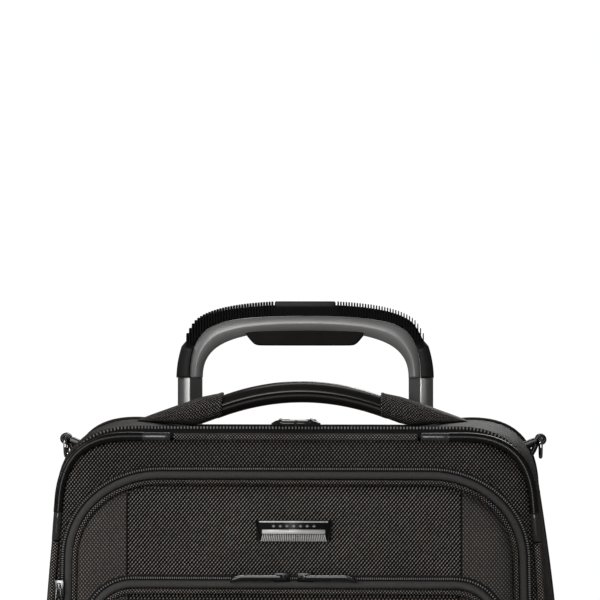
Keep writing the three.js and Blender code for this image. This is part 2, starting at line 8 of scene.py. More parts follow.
import bmesh
import bpy
import numpy as np
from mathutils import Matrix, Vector


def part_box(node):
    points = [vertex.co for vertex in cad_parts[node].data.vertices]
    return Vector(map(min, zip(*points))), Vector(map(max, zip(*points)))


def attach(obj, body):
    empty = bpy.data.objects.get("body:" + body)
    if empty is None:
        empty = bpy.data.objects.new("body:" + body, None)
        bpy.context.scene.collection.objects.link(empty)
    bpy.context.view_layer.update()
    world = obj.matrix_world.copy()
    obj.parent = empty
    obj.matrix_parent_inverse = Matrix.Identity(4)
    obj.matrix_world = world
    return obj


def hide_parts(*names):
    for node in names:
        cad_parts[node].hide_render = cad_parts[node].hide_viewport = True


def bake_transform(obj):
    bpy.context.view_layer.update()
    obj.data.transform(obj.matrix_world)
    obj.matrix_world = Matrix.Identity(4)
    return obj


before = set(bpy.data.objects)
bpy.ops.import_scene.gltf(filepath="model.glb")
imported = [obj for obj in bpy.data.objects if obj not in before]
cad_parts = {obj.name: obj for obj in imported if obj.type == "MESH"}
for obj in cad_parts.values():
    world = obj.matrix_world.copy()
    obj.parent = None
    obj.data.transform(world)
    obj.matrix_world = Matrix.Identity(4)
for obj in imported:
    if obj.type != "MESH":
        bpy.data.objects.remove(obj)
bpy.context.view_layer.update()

MM = 0.001
SIDES = (("left", -1), ("right", 1))

# The side handle sticks out on one side, so the case's middle line is not at x = 0.
lid_low, lid_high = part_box("lid_panel")
MIDDLE_X = (lid_low.x + lid_high.x) / 2 / MM


def node_box(node):
    """Lowest and highest corner of a CAD node, in millimetres from the case's middle line."""
    low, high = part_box(node)
    shift = np.array([MIDDLE_X, 0, 0])
    return np.array(low) / MM - shift, np.array(high) / MM - shift


LID_LOW, LID_HIGH = node_box("lid_panel")
CENTRE_Z = (LID_LOW[2] + LID_HIGH[2]) / 2
PIPING_LOW, PIPING_HIGH = node_box("lid_piping_top")
PIPING_Y = (PIPING_LOW[1] + PIPING_HIGH[1]) / 2
PIPING_HALF_WIDTH = 174.0
PIPING_HALF_HEIGHT = (PIPING_LOW[2] + PIPING_HIGH[2]) / 2 - CENTRE_Z

# The corners of the piping's outline, which the case's other outlines follow in proportion.
EDGE_SHOULDER = 163.8
CORNER_WIDTH = 47.8
CORNER_HEIGHT = 46
CORNER_AT_HEIGHT = 251
CORNER_FULLNESS = 0.607
POCKET_LOWER_CORNER = 22


# ---- curves and outlines
def circle(count):
    """Angles evenly spaced once round."""
    return np.linspace(0, math.tau, count, endpoint=False)


def squared(value, power):
    """A sine or cosine pushed outwards, which makes a round section squarer."""
    return math.copysign(abs(value) ** power, value)


def bezier(p0, p1, p2, p3, count):
    """Points on a cubic curve from p0 to p3."""
    t = np.linspace(0, 1, count)[:, None]
    p0, p1, p2, p3 = (np.array(p, float) for p in (p0, p1, p2, p3))
    return (1 - t) ** 3 * p0 + 3 * (1 - t) ** 2 * t * p1 + 3 * (1 - t) * t**2 * p2 + t**3 * p3


def quarter(half_width, height, flat, shoulder, corner, fullness):
    """From the top middle to the side middle: straight top, full corner, softly bowed side."""
    side = height - corner
    run = shoulder - flat
    drop = corner * (0.8 - 0.85 * fullness)
    bow = half_width - shoulder
    top = np.array([[0, height], [flat, height]], float)
    bend = bezier((flat, height), (flat + run * fullness, height),
                  (shoulder - 1.8, height - drop), (shoulder, side), 24)
    down = bezier((shoulder, side), (shoulder + bow * 0.28, side * 0.83),
                  (half_width, side * 0.44), (half_width, 0), 16)
    return np.vstack([top, bend[1:], down[1:]])


def arc_length(points):
    steps = np.linalg.norm(np.diff(points, axis=0), axis=1)
    return np.concatenate([[0], np.cumsum(steps)])


def resample(points, count):
    """Evenly spaced points along an open line, both ends included."""
    points = np.asarray(points, float)
    along = arc_length(points)
    wanted = np.linspace(0, along[-1], count)
    return np.column_stack([np.interp(wanted, along, column) for column in points.T])


def closed_outline(upper, lower, middle, count):
    """Mirrors two quarters into one loop that starts at the bottom middle and runs anticlockwise."""
    right = np.vstack([lower * [1, -1], upper[::-1][1:]])
    left = right[::-1] * [-1, 1]
    loop = resample(np.vstack([right, left[1:]]), count + 1)[:-1]
    return loop + [0, middle]


def case_outline(half_width, half_height, count, top_height=None, sag=0.0, shoulder=None):
    """The case's outline. shoulder is its half width at the lower end of its top corners.

    Its top may stand lower than its bottom does, and may sag in the middle.
    """
    shoulder = shoulder or half_width * EDGE_SHOULDER / PIPING_HALF_WIDTH
    flat = shoulder - CORNER_WIDTH

    def part(height):
        corner = CORNER_HEIGHT * height / CORNER_AT_HEIGHT
        return quarter(half_width, height, flat, shoulder, corner, CORNER_FULLNESS)

    loop = closed_outline(part(top_height or half_height), part(half_height), CENTRE_Z, count)
    share = np.clip((flat - np.abs(loop[:, 0])) / (0.4 * flat), 0, 1)
    loop[:, 1] -= sag * share * share * (3 - 2 * share) * (loop[:, 1] > CENTRE_Z)
    return loop


def pocket_outline(low, high, corner, inset, count=220):
    """A pocket's outline, brought in by inset: wide top corners and tighter bottom ones."""
    half_width = (high[0] - low[0]) / 2 - inset
    height = (high[2] - low[2]) / 2 - inset
    bend = max(corner - inset, 4)
    upper = quarter(half_width, height, half_width - bend * 1.2, half_width - 2, bend, 0.5)
    low_bend = max(POCKET_LOWER_CORNER - inset, 3)
    lower = quarter(half_width, height, half_width - low_bend - 2, half_width - 2, low_bend, 0.5)
    return closed_outline(upper, lower, (low[2] + high[2]) / 2, count)


def open_run(loop, cut_z):
    """The part of a closed outline above cut_z, as one line from the right foot over to the left foot."""
    return loop[loop[:, 1] > cut_z]


def at_depth(outline, y):
    """The points of an outline in X and Z, stood at depth y."""
    return np.insert(np.asarray(outline, float), 1, y, axis=1)


# ---- materials
class Nodes:
    """A short way to write a material's node tree."""

    def __init__(self, name):
        self.material = bpy.data.materials.new(name)
        self.material.use_nodes = True
        self.tree = self.material.node_tree
        self.shader = self.tree.nodes["Principled BSDF"]

    def add(self, kind, **settings):
        node = self.tree.nodes.new("ShaderNode" + kind)
        for key, value in settings.items():
            setattr(node, key, value)
        return node

    def put(self, value, socket):
        """Gives a socket a number or a colour, or links another node's output to it."""
        if isinstance(value, bpy.types.NodeSocket):
            self.tree.links.new(value, socket)
        elif isinstance(value, tuple):
            socket.default_value = (*value, 1)
        else:
            socket.default_value = value

    def fill(self, node, **values):
        for name, value in values.items():
            self.put(value, node.inputs[name])

    def math(self, operation, *values):
        node = self.add("Math", operation=operation)
        for value, socket in zip(values, node.inputs):
            self.put(value, socket)
        return node.outputs[0]

    def mix(self, a, b, factor=1.0, blend_type="MULTIPLY"):
        node = self.add("Mix", data_type="RGBA", blend_type=blend_type)
        self.fill(node, Factor=factor, A=a, B=b)
        return node.outputs["Result"]

    def place(self):
        """Where the shaded point is on the piece, in metres."""
        return self.add("TexCoord").outputs["Object"]

    def cloth(self):
        """The piece's own UV, in metres along and across its cloth."""
        split = self.add("SeparateXYZ")
        self.put(self.add("UVMap", uv_map="Cloth").outputs["UV"], split.inputs[0])
        return split.outputs[0], split.outputs[1]

    def noise(self, scale, detail):
        node = self.add("TexNoise")
        self.fill(node, Scale=scale, Detail=detail, Vector=self.place())
        return node.outputs["Fac"]

    def wave(self, distance, pitch):
        """Rises from 0 to 1 and back once in every pitch millimetres of distance."""
        turns = self.math("MULTIPLY", distance, math.tau / (pitch * MM))
        return self.math("MULTIPLY_ADD", self.math("COSINE", turns), 0.5, 0.5)

    def ramp(self, factor, *stops):
        node = self.add("ValToRGB")
        elements = node.color_ramp.elements
        while len(elements) < len(stops):
            elements.new(0.5)
        for element, (position, colour) in zip(elements, stops):
            element.position = position
            element.color = (*colour, 1)
        self.fill(node, Fac=factor)
        return node.outputs["Color"]

    def colour(self, value):
        self.put(value, self.shader.inputs["Base Color"])

    def shade(self, factor, grey, *stops, warm=1.0):
        """Colours the surface by stops of (factor, share of grey)."""
        self.colour(self.ramp(factor, *((at, tint(grey * share, warm)) for at, share in stops)))

    def bump(self, height, distance, strength):
        node = self.add("Bump")
        self.fill(node, Strength=strength, Distance=distance * MM, Height=height)
        self.fill(self.shader, Normal=node.outputs["Normal"])

    def finish(self, roughness, metallic=0.0, specular=0.5):
        self.fill(self.shader, Roughness=roughness, Metallic=metallic)
        self.put(specular, self.shader.inputs["Specular IOR Level"])
        return self.material


def tint(grey, warm=1.0):
    """A near-neutral dark colour, slightly warm."""
    return (grey * (1 + 0.12 * warm), grey, grey * (1 - 0.08 * warm))


def level(value):
    """A neutral grey."""
    return (value, value, value)


WEAVE_ACROSS = 2.48
WEAVE_UP = 2.95
SEAM_WIDTH = 1.1


def weave_material(name, grey, rising, seam=None, size=1.0, dull=0.0):
    """Coarse basket weave drawn from the piece's own UV, which is in metres along warp and weft.

    rising is how much the rows that climb to the right outweigh those that fall. Where a seam is
    given, the cloth beyond it on both sides is turned, so that the other rows stand out.
    """
    n = Nodes(name)
    u, v = n.cloth()
    across = n.math("MULTIPLY", u, math.tau / (WEAVE_ACROSS * size * MM))
    up = n.math("MULTIPLY", v, math.tau / (WEAVE_UP * size * MM))
    up_rows = n.math("COSINE", n.math("SUBTRACT", across, up))
    down_rows = n.math("COSINE", n.math("ADD", across, up))
    weight = rising
    if seam:
        from_middle = n.math("ABSOLUTE", u)
        beyond = n.math("GREATER_THAN", from_middle, seam * MM)
        weight = n.math("SUBTRACT", rising, n.math("MULTIPLY", beyond, rising - 0.5))
    rows = n.math("ADD", n.math("MULTIPLY", up_rows, weight),
                  n.math("MULTIPLY", down_rows, n.math("SUBTRACT", 1.0, weight)))
    height = n.math("MULTIPLY_ADD", rows, 0.5, 0.5)
    fibres = n.math("MULTIPLY", n.noise(900.0, 1.0), 0.44)
    relief = n.math("MULTIPLY", height, n.math("ADD", 0.78, fibres))
    # Painted shade in the valleys between the yarns, and a painted highlight on the yarn crowns, dimmed by
    # dull.
    painted_crown_highlight = tint(grey * (11.0 - 8.0 * dull))
    cloth = n.ramp(relief, (0.38, tint(grey * 0.02)), (0.64, tint(grey * 0.6)), (0.92, painted_crown_highlight))
    if seam:
        cloth = n.mix(cloth, tint(grey * 2.6), n.math("MULTIPLY", beyond, 0.42), "MIX")
        away = n.math("ABSOLUTE", n.math("SUBTRACT", from_middle, seam * MM))
        away = n.math("MULTIPLY", away, 1 / (SEAM_WIDTH * MM))
        cloth = n.mix(cloth, n.ramp(away, (0.3, level(0.1)), (1.0, level(1.0))))
    patches = n.ramp(n.noise(22.0, 3.0), (0.3, level(0.86)), (0.7, level(1.12)))
    n.colour(n.mix(cloth, patches))
    n.bump(relief, 0.25, 0.8)
    return n.finish(0.62, specular=0.12)


def twill_material(name, grey, pitch=0.9):
    """Smooth zip tape: a fine diagonal twill."""
    n = Nodes(name)
    ridges_and_mottling = n.math("MULTIPLY", n.wave(n.math("ADD", *n.cloth()), pitch), n.noise(500.0, 2.0))
    # Painted shade: darker along the twill's grooves; the mottling across it is random tone.
    n.shade(ridges_and_mottling, grey, (0.0, 0.72), (0.6, 1.3), warm=0.4)
    n.bump(ridges_and_mottling, 0.1, 0.6)
    return n.finish(0.7, specular=0.15)


def moulded_material(name, grey, roughness, grain=0.06, scale=900.0, metallic=0.0, warm=0.3,
                     specular=0.5):
    """Moulded plastic, rubber or plated metal: fine grain, and light wear that varies the gloss."""
    n = Nodes(name)
    wide = n.noise(18.0, 4.0)
    n.shade(wide, grey, (0.3, 0.88), (0.7, 1.15), warm=warm)
    n.bump(n.noise(scale, 3.0), grain, 0.5)
    return n.finish(n.math("MULTIPLY_ADD", wide, 0.16, roughness - 0.08), metallic, specular)


def leather_material(name, grey, roughness, grain, specular=0.5):
    """Coated leather-like wrap: small pebbles with a soft gloss."""
    n = Nodes(name)
    cells = n.add("TexVoronoi")
    n.fill(cells, Scale=900.0, Vector=n.place())
    n.shade(n.noise(40.0, 3.0), grey, (0.3, 0.85), (0.7, 1.2))
    n.bump(cells.outputs["Distance"], grain, 0.5)
    return n.finish(roughness, specular=specular)


def metal_material(name, grey, roughness):
    """Plated or anodised metal, with a faint broad variation in tone."""
    n = Nodes(name)
    n.shade(n.noise(30.0, 2.0), grey, (0.3, 0.94), (0.7, 1.04), warm=0.1)
    return n.finish(roughness, metallic=1.0)


def ribbed_material(name, grey, roughness, pitch):
    """Rubber with fine ribs across its length. The piece's UV runs in metres along it."""
    n = Nodes(name)
    height = n.wave(n.cloth()[0], pitch)
    # Painted shade and highlight: darker in the grooves between the ribs, lighter on their crests.
    n.shade(height, grey, (0.1, 0.5), (0.8, 1.2))
    n.bump(height, 0.12, 0.7)
    return n.finish(roughness)


SEAM_1 = 113.8
SEAM_2 = 112.0
nylon = weave_material("ballistic_nylon", 0.014, rising=0.58, dull=0.2)
nylon_pocket_1 = weave_material("ballistic_nylon_pocket_1", 0.015, rising=0.68, seam=SEAM_1)
nylon_pocket_2 = weave_material("ballistic_nylon_pocket_2", 0.015, rising=0.6, seam=SEAM_2)
nylon_piping = weave_material("woven_piping_cloth", 0.022, rising=0.5, size=0.85)
twill = twill_material("zip_cover_twill", 0.042)
dark_tape = twill_material("zip_tape", 0.008, 0.7)
lining = twill_material("lining_cloth", 0.07, 1.4)
coil = moulded_material("zip_coil", 0.17, 0.3)
rubber = moulded_material("piping_rubber", 0.01, 0.5, specular=0.25)
grip_rubber = moulded_material("grip_rubber", 0.01, 0.45, specular=0.25)
# The grip rubber made more matte, and darker to paint the shade among the comb's fins.
comb_rubber_painted_shade = moulded_material("comb_rubber_painted_shade", 0.004, 0.6, specular=0.12)
plastic = moulded_material("textured_plastic", 0.012, 0.5, grain=0.12, scale=1400.0)
leather = leather_material("handle_wrap", 0.008, 0.22, 0.012)
grip_underside = leather_material("grip_underside", 0.012, 0.45, 0.1)
soft_pad = leather_material("soft_pad", 0.008, 0.7, 0.2, specular=0.15)
pewter = moulded_material("satin_pewter", 0.26, 0.38, grain=0.02, metallic=0.55, warm=0.1)
aluminium = metal_material("satin_aluminium", 0.8, 0.32)
# A darker copy of the tube metal, which paints the tubes' front flats in shade.
aluminium_painted_shade = metal_material("aluminium_painted_shade", 0.25, 0.36)
steel = metal_material("plain_steel", 0.5, 0.3)
chrome = metal_material("bright_chrome", 0.78, 0.1)
nickel = metal_material("plain_nickel", 0.3, 0.25)
badge_chrome = moulded_material("badge_chrome", 0.62, 0.3, grain=0.0, metallic=0.35, warm=0.1)
lozenge_metal = metal_material("badge_lozenge", 0.3, 0.5)
badge_black = moulded_material("badge_black", 0.006, 0.35, grain=0.005, specular=0.3)
gunmetal = metal_material("dark_nickel", 0.05, 0.25)
black_gloss = moulded_material("gloss_black", 0.008, 0.12, grain=0.005)
ribbed_rubber = ribbed_material("ribbed_guard_rubber", 0.005, 0.17, pitch=1.1)
smooth_rubber = moulded_material("smooth_guard_rubber", 0.02, 0.2, grain=0.0, specular=0.9)
tyre_rubber = moulded_material("tyre_rubber", 0.02, 0.7, grain=0.2)
thread = moulded_material("stitch_thread", 0.03, 0.6)


# ---- mesh making
def new_object(name, vertices, faces, materials, uvs=None, face_materials=None, smooth=True):
    """A mesh object from millimetres about the case's middle line. uvs is one pair per face corner."""
    mesh = bpy.data.meshes.new(name)
    placed = (np.asarray(vertices, float) + [MIDDLE_X, 0, 0]) * MM
    mesh.from_pydata(placed.tolist(), [], faces)
    for material in materials:
        mesh.materials.append(material)
    layer = mesh.uv_layers.new(name="Cloth")
    if uvs is not None:
        layer.data.foreach_set("uv", (np.asarray(uvs, float) * MM).ravel())
    if face_materials is not None:
        mesh.polygons.foreach_set("material_index", np.asarray(face_materials, np.int32))
    mesh.polygons.foreach_set("use_smooth", [smooth] * len(mesh.polygons))
    mesh.update()
    made = bpy.data.objects.new(name, mesh)
    bpy.context.scene.collection.objects.link(made)
    return made


def place(piece, body, slot, *nodes):
    """Says which body a piece rides on, and hides the CAD nodes that it stands for. slot, its material
    slot, is not used.
    """
    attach(piece, body)
    if nodes:
        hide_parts(*nodes)


BOX_FACES = [(0, 1, 3, 2), (4, 6, 7, 5), (0, 4, 5, 1), (2, 3, 7, 6), (0, 2, 6, 4), (1, 5, 7, 3)]


def box_corners(low, high):
    return [(x, y, z) for x in (low[0], high[0]) for y in (low[1], high[1]) for z in (low[2], high[2])]


class Builder:
    """Collects grids and small solids into one mesh."""

    def __init__(self):
        self.vertices = []
        self.faces = []
        self.uvs = []
        self.face_materials = []
        self.count = 0

    def add_points(self, points):
        start = self.count
        self.vertices.append(np.asarray(points, float).reshape(-1, 3))
        self.count += len(self.vertices[-1])
        return start

    def add_face(self, corners, uvs, material):
        self.faces.append(corners)
        self.uvs.extend(uvs)
        self.face_materials.append(material)

    def grid(self, points, u=0.0, v=0.0, close_rows=False, close_columns=False, material=0, cap_rows=False):
        """A sheet of quads over points[row][column], with u per column step and v per row step."""
        points = np.asarray(points, float)
        rows, columns, _ = points.shape
        start = self.add_points(points)
        u = np.broadcast_to(u, (rows + close_rows, columns + close_columns))
        v = np.broadcast_to(v, (rows + close_rows, columns + close_columns))
        for r in range(rows if close_rows else rows - 1):
            for c in range(columns if close_columns else columns - 1):
                corners = [(r, c), (r, c + 1), (r + 1, c + 1), (r + 1, c)]
                self.add_face([start + (i % rows) * columns + (j % columns) for i, j in corners],
                              [(u[i, j], v[i, j]) for i, j in corners], material)
        if cap_rows:
            for row, order in ((0, -1), (rows - 1, 1)):
                ring = [start + row * columns + c for c in range(columns)][::order]
                self.add_face(ring, [(0.0, 0.0)] * columns, material)

    def loft(self, rings, material=0):
        """A solid with flat ends, through rings that have the same number of points each."""
        self.grid(rings, close_columns=True, cap_rows=True, material=material)

    def solid(self, points, faces):
        start = self.add_points(points)
        for face in faces:
            self.add_face([start + i for i in face], [(points[i][0], points[i][2]) for i in face], 0)

    def make(self, name, *materials, smooth=True):
        vertices = np.vstack(self.vertices)
        return new_object(name, vertices, self.faces, materials, self.uvs, self.face_materials, smooth)


def frames_along(path, closed=False):
    """Unit tangent and sideways direction at each point of a line drawn in X and Z.

    Sideways is to the right of travel, which is the outside of a loop that runs anticlockwise.
    """
    path = np.asarray(path, float)
    if closed:
        ahead = np.roll(path, -1, axis=0) - np.roll(path, 1, axis=0)
    else:
        ahead = np.gradient(path, axis=0)
    tangent = ahead / np.linalg.norm(ahead, axis=1)[:, None]
    return tangent, np.column_stack([tangent[:, 1], -tangent[:, 0]])


def sweep(builder, path, y, profile, closed=False, closed_profile=True, scale=1.0):
    """Carries a profile of (sideways, forwards) pairs along a path in X and Z, at depth y.

    The UV is millimetres along the path and round the profile.
    """
    path = np.asarray(path, float)
    profile = np.asarray(profile, float)
    across, forward = profile.T
    _, side = frames_along(path, closed)
    grow = np.broadcast_to(scale, len(path))[:, None]
    points = np.stack([path[:, :1] + side[:, :1] * across * grow,
                       y - forward * grow,
                       path[:, 1:] + side[:, 1:] * across * grow], axis=2)
    along = arc_length(np.vstack([path, path[:1]]) if closed else path)
    around = arc_length(np.vstack([profile, profile[:1]]) if closed_profile else profile)
    builder.grid(points, along[:, None], around[None, :], close_rows=closed, close_columns=closed_profile,
                 cap_rows=closed_profile and not closed)


def round_profile(radius, count=12):
    return np.column_stack([radius * np.cos(circle(count)), radius * np.sin(circle(count))])


def box_profile(across0, across1, forward0, forward1, corner):
    """A rounded rectangle, as sideways and forward distances."""
    points = []
    corners = [(across1 - corner, forward1 - corner, 0), (across0 + corner, forward1 - corner, 90),
               (across0 + corner, forward0 + corner, 180), (across1 - corner, forward0 + corner, 270)]
    for x, y, start in corners:
        for step in range(3):
            angle = math.radians(start + step * 45)
            points.append((x + corner * math.cos(angle), y + corner * math.sin(angle)))
    return np.array(points)


def bevel(piece, width, segments=2):
    """Rounds a solid's edges."""
    modifier = piece.modifiers.new("Rounded edges", "BEVEL")
    modifier.width = width * MM
    modifier.segments = segments
    modifier.limit_method = "ANGLE"
    modifier.angle_limit = math.radians(35)
    return piece


def thicken(piece, thickness, inside=None):
    """Gives a sheet thickness behind the side it faces, in another material where inside names one."""
    modifier = piece.modifiers.new("Thickness", "SOLIDIFY")
    modifier.thickness = thickness * MM
    modifier.offset = -1
    if inside:
        piece.data.materials.append(inside)
        modifier.material_offset = 1


def cut_with_boxes(piece, boxes):
    """Cuts boxes, given as low and high corners in millimetres, out of a piece and applies the cuts."""
    cutters = []
    for low, high in boxes:
        cutter = new_object("cutter", box_corners(low, high), BOX_FACES, [piece.data.materials[0]])
        cutters.append(cutter)
        modifier = piece.modifiers.new("Cut", "BOOLEAN")
        modifier.operation = "DIFFERENCE"
        modifier.solver = "EXACT"
        modifier.object = cutter
    depsgraph = bpy.context.evaluated_depsgraph_get()
    cut_mesh = bpy.data.meshes.new_from_object(piece.evaluated_get(depsgraph))
    piece.modifiers.clear()
    piece.data = cut_mesh
    for cutter in cutters:
        bpy.data.objects.remove(cutter)


def rods(builder, centres, directions, length, radius, sides=6, material=0):
    """Adds short rods with rounded ends: stitches, zip teeth and the like."""
    for centre, direction in zip(centres, directions):
        d = direction / np.linalg.norm(direction)
        helper = [0, 1, 0] if abs(d[1]) < 0.9 else [1, 0, 0]
        a = np.cross(d, helper)
        a /= np.linalg.norm(a)
        b = np.cross(d, a)
        rings = []
        for along, r in ((-0.5, 0.55), (-0.36, 1.0), (0.36, 1.0), (0.5, 0.55)):
            rings.append([centre + d * length * along + radius * r * (a * math.cos(t) + b * math.sin(t))
                          for t in circle(sides)])
        builder.loft(rings, material)


def rod_row(builder, path, y, across, pitch, length, radius, sides=6, lengthways=False, material=0):
    """Rods in a row beside a path in X and Z, across millimetres to its outside.

    Zip teeth point away from the path, and stitches lie lengthways.
    """
    count = max(int(arc_length(path)[-1] / pitch), 2)
    line = resample(path, count)
    tangent, side = frames_along(line)
    directions = at_depth(tangent if lengthways else side, 0.0)
    rods(builder, at_depth(line + side * across, y), directions, length, radius, sides, material)


# ---- case walls and back
# Depth, half width, shoulder, half height, top height and sag of the walls, from front to back.
WALL_STATIONS = np.array([
    (-70.5, 176.0, 165.8, 253.0, 253.0, 0.0),
    (-58.0, 180.0, 168.0, 256.0, 256.0, 2.5),
    (10.0, 189.0, 170.6, 257.5, 257.5, 4.5),
    (62.0, 190.0, 171.0, 257.5, 257.5, 5.5),
    (77.0, 188.5, 170.0, 256.0, 248.9, 0.0),
    (104.0, 183.0, 167.0, 254.0, 248.5, 0.0),
])
WALL_DEPTHS = [-70.5, -66, -58, -44, -28, -10, 10, 30, 50, 62, 66, 71, 77, 84, 94, 101, 104]
WALL_THICKNESS = 4.0
WELT_Y = 62.0
HOUSING_X = 170
HOUSING_HALF_WIDTH = 39.3
HOUSING_FRONT = 42.7
HOUSING_TOP = 86.3
CUT_BELOW = -20
CUT_BEHIND = 140
HANDLE_CUP_BOX = ((-103.3, 81.5, 500), (103.3, CUT_BEHIND, 600))
CORD_FOOT = 92


def wall_ring(y, grow, count):
    half_width, shoulder, half_height, top_height, sag = (
        np.interp(y, WALL_STATIONS[:, 0], column) for column in WALL_STATIONS.T[1:])
    return case_outline(half_width + grow, half_height + grow, count, top_height + grow, sag,
                        shoulder + grow)


def housing_boxes():
    """The rear lower corners, where the wheel housings take the place of the walls."""
    return [((side * HOUSING_X - HOUSING_HALF_WIDTH, HOUSING_FRONT, CUT_BELOW),
             (side * HOUSING_X + HOUSING_HALF_WIDTH, CUT_BEHIND, HOUSING_TOP)) for _, side in SIDES]


def make_gusset():
    """The walls as one sleeve: cloth outside, and lining on the inside and on the rear edge."""
    count = 260
    rings = [at_depth(wall_ring(y, 0.0, count), y) for y in WALL_DEPTHS]
    rings += [at_depth(wall_ring(y, -WALL_THICKNESS, count), y) for y in WALL_DEPTHS[::-1]]
    measured = rings[WALL_DEPTHS.index(50)]
    along = arc_length(np.vstack([measured, measured[:1]]))
    depths = WALL_DEPTHS + [y + WALL_THICKNESS for y in WALL_DEPTHS[::-1]] + [WALL_DEPTHS[0]]
    b = Builder()
    b.grid(rings, along[None, :], np.array(depths)[:, None], close_rows=True, close_columns=True)
    rows = len(WALL_DEPTHS)
    b.face_materials = [0] * (rows - 1) * count + [1] * rows * count + [0] * count
    gusset = b.make("main_gusset_cloth", nylon, lining)
    cut_with_boxes(gusset, housing_boxes() + [HANDLE_CUP_BOX])
    place(gusset, "case", "ballistic_nylon", "main_gusset")


PANEL_STEPS = 7
PANEL_CROWN = 1.2


def ring_panel(name, outline_at, rings, material):
    """A padded panel: rings of (inset, depth) from its edge inwards, then a flat crown to the middle.

    Cloth UV is the front view itself, so that warp and weft stay upright and level.
    """
    loops = [at_depth(outline_at(inset), y) for inset, y in rings]
    last = loops[-1]
    middle = last.mean(axis=0)
    crown_y = rings[-1][1]
    outward = np.sign(crown_y - rings[-2][1])
    for step in range(1, PANEL_STEPS):
        share = step / PANEL_STEPS
        loop = middle + (last - middle) * (1 - share)
        loop[:, 1] = crown_y + outward * PANEL_CROWN * math.sin(share * math.pi / 2)
        loops.append(loop)
    points = np.array(loops)
    wrapped = np.concatenate([points, points[:, :1]], axis=1)
    b = Builder()
    b.grid(points, wrapped[:, :, 0], wrapped[:, :, 2], close_columns=True)
    inner = range(b.count - len(last), b.count)
    b.add_face(list(inner), points[-1][:, [0, 2]], 0)
    return b.make(name, material)


def make_welt():
    """A thin welt sewn round the walls, where their front cloth ends."""
    b = Builder()
    sweep(b, open_run(wall_ring(WELT_Y, 0.6, 420), CORD_FOOT), WELT_Y, round_profile(1.3, 8))
    place(b.make("wall_welt", rubber), "case", "guard_rubber")


def make_back():
    def outline_at(inset):
        return case_outline(181.5 - inset, 253.5 - inset, 240, 244.4 - inset, 0, 165.5 - inset)

    rings = [(-3.4, 105.4), (-1.0, 105.6), (0.8, 106.8), (2.0, 107.6), (8, 108.0), (30, 108.6)]
    panel = ring_panel("rear_panel_cloth", outline_at, rings, nylon)
    thicken(panel, 1.2)
    cut_with_boxes(panel, housing_boxes())
    place(panel, "case", "ballistic_nylon", "rear_panel")
    b = Builder()
    loop = case_outline(185.8, 257.8, 420, 248.6, 0, 169.8)
    sweep(b, open_run(loop, CORD_FOOT), 107.4, round_profile(2.6, 10))
    place(b.make("rear_piping_cord", rubber), "case", "guard_rubber", "rear_piping")


# ---- lid edge: piping and corner guards
EDGE_LOOP = case_outline(PIPING_HALF_WIDTH, PIPING_HALF_HEIGHT, 900)
EDGE_FROM_TOP = np.roll(EDGE_LOOP, -len(EDGE_LOOP) // 2, axis=0)
GUARD_LOW, _ = node_box("corner_guard_right")
GUARD_START = GUARD_LOW[0]
GUARD_END_Z = GUARD_LOW[2] - 10.3
GUARD_RADIUS = 3.4
GUARD_SIDES = 20
GUARD_ROWS = 90
PIPING_RADIUS = 2.4
# The smooth tips: distance from the end, and thickness as a share of the ribbed bend's.
GUARD_TIP = [(0, 0.72), (0.2, 0.84), (0.5, 0.88), (5, 0.9), (10, 0.92), (15, 0.92), (18.5, 0.92),
             (18.8, 0.9)]


def make_piping():
    reach = GUARD_START - 0.3
    top = [(x, PIPING_HIGH[2] - PIPING_RADIUS) for x in np.linspace(reach, -reach, 120)]
    sides = EDGE_FROM_TOP[EDGE_FROM_TOP[:, 1] < GUARD_END_Z - 1]
    for part, path, node in (("top", top, "lid_piping_top"), ("side", sides, "lid_piping_sides")):
        b = Builder()
        sweep(b, path, PIPING_Y, round_profile(PIPING_RADIUS))
        place(b.make(f"lid_piping_{part}_cord", nylon_piping), "lid", "twill_tape", node)


def make_guard(word, side):
    """A rubber corner guard: a finely ribbed bend between two smooth, slightly thinner tips."""
    on_bend = (EDGE_FROM_TOP[:, 0] * side > GUARD_START + 1) & (EDGE_FROM_TOP[:, 1] > GUARD_END_Z)
    bend = EDGE_FROM_TOP[on_bend]
    if bend[0, 1] < bend[-1, 1]:
        bend = bend[::-1]
    along = arc_length(bend)
    length = along[-1]
    tip, tip_scale = np.array(GUARD_TIP).T
    middle = np.linspace(tip[-1] + 0.5, length - tip[-1] - 0.5, GUARD_ROWS)
    distances = np.concatenate([tip, middle, length - tip[::-1]])
    scale = np.concatenate([tip_scale, np.ones(GUARD_ROWS), tip_scale[::-1]])
    path = np.column_stack([np.interp(distances, along, column) for column in bend.T])
    b = Builder()
    sweep(b, path, PIPING_Y, round_profile(GUARD_RADIUS, GUARD_SIDES), scale=scale)
    ribbed = range(len(tip) * GUARD_SIDES, (len(tip) + GUARD_ROWS - 1) * GUARD_SIDES)
    b.face_materials = [0 if i in ribbed else 1 for i in range(len(b.faces))]
    guard = b.make(f"corner_guard_{word}_rubber", ribbed_rubber, smooth_rubber)
    place(guard, "lid", "guard_rubber", f"corner_guard_{word}")


# ---- lid, pockets and their zips
def make_main_zip():
    """The teeth stand above the lid at the top, and run in behind the corner guards."""
    path = open_run(case_outline(PIPING_HALF_WIDTH - 3.5, PIPING_HALF_HEIGHT + 0.3, 900, shoulder=159), 74)
    b = Builder()
    sweep(b, path, -72.6, [(-1.0, 1.0), (0.2, 1.6), (2.2, 1.4), (3.6, 0.2)], closed_profile=False)
    place(b.make("main_zip_tape_lid_side", dark_tape), "lid", "zipper_coil", "main_zipper_lid_side")
    b = Builder()
    sweep(b, path, -71.0, [(3.4, 0.0), (6.0, 0.3), (7.0, -0.6)], closed_profile=False)
    rod_row(b, path, -71.5, 5.9, pitch=2.26, length=1.7, radius=0.5, material=1)
    place(b.make("main_zip_teeth", dark_tape, coil), "case", "zipper_coil", "main_zipper_case_side")


LID_HALF_WIDTH = 171.6
LID_HALF_HEIGHT = 248.6


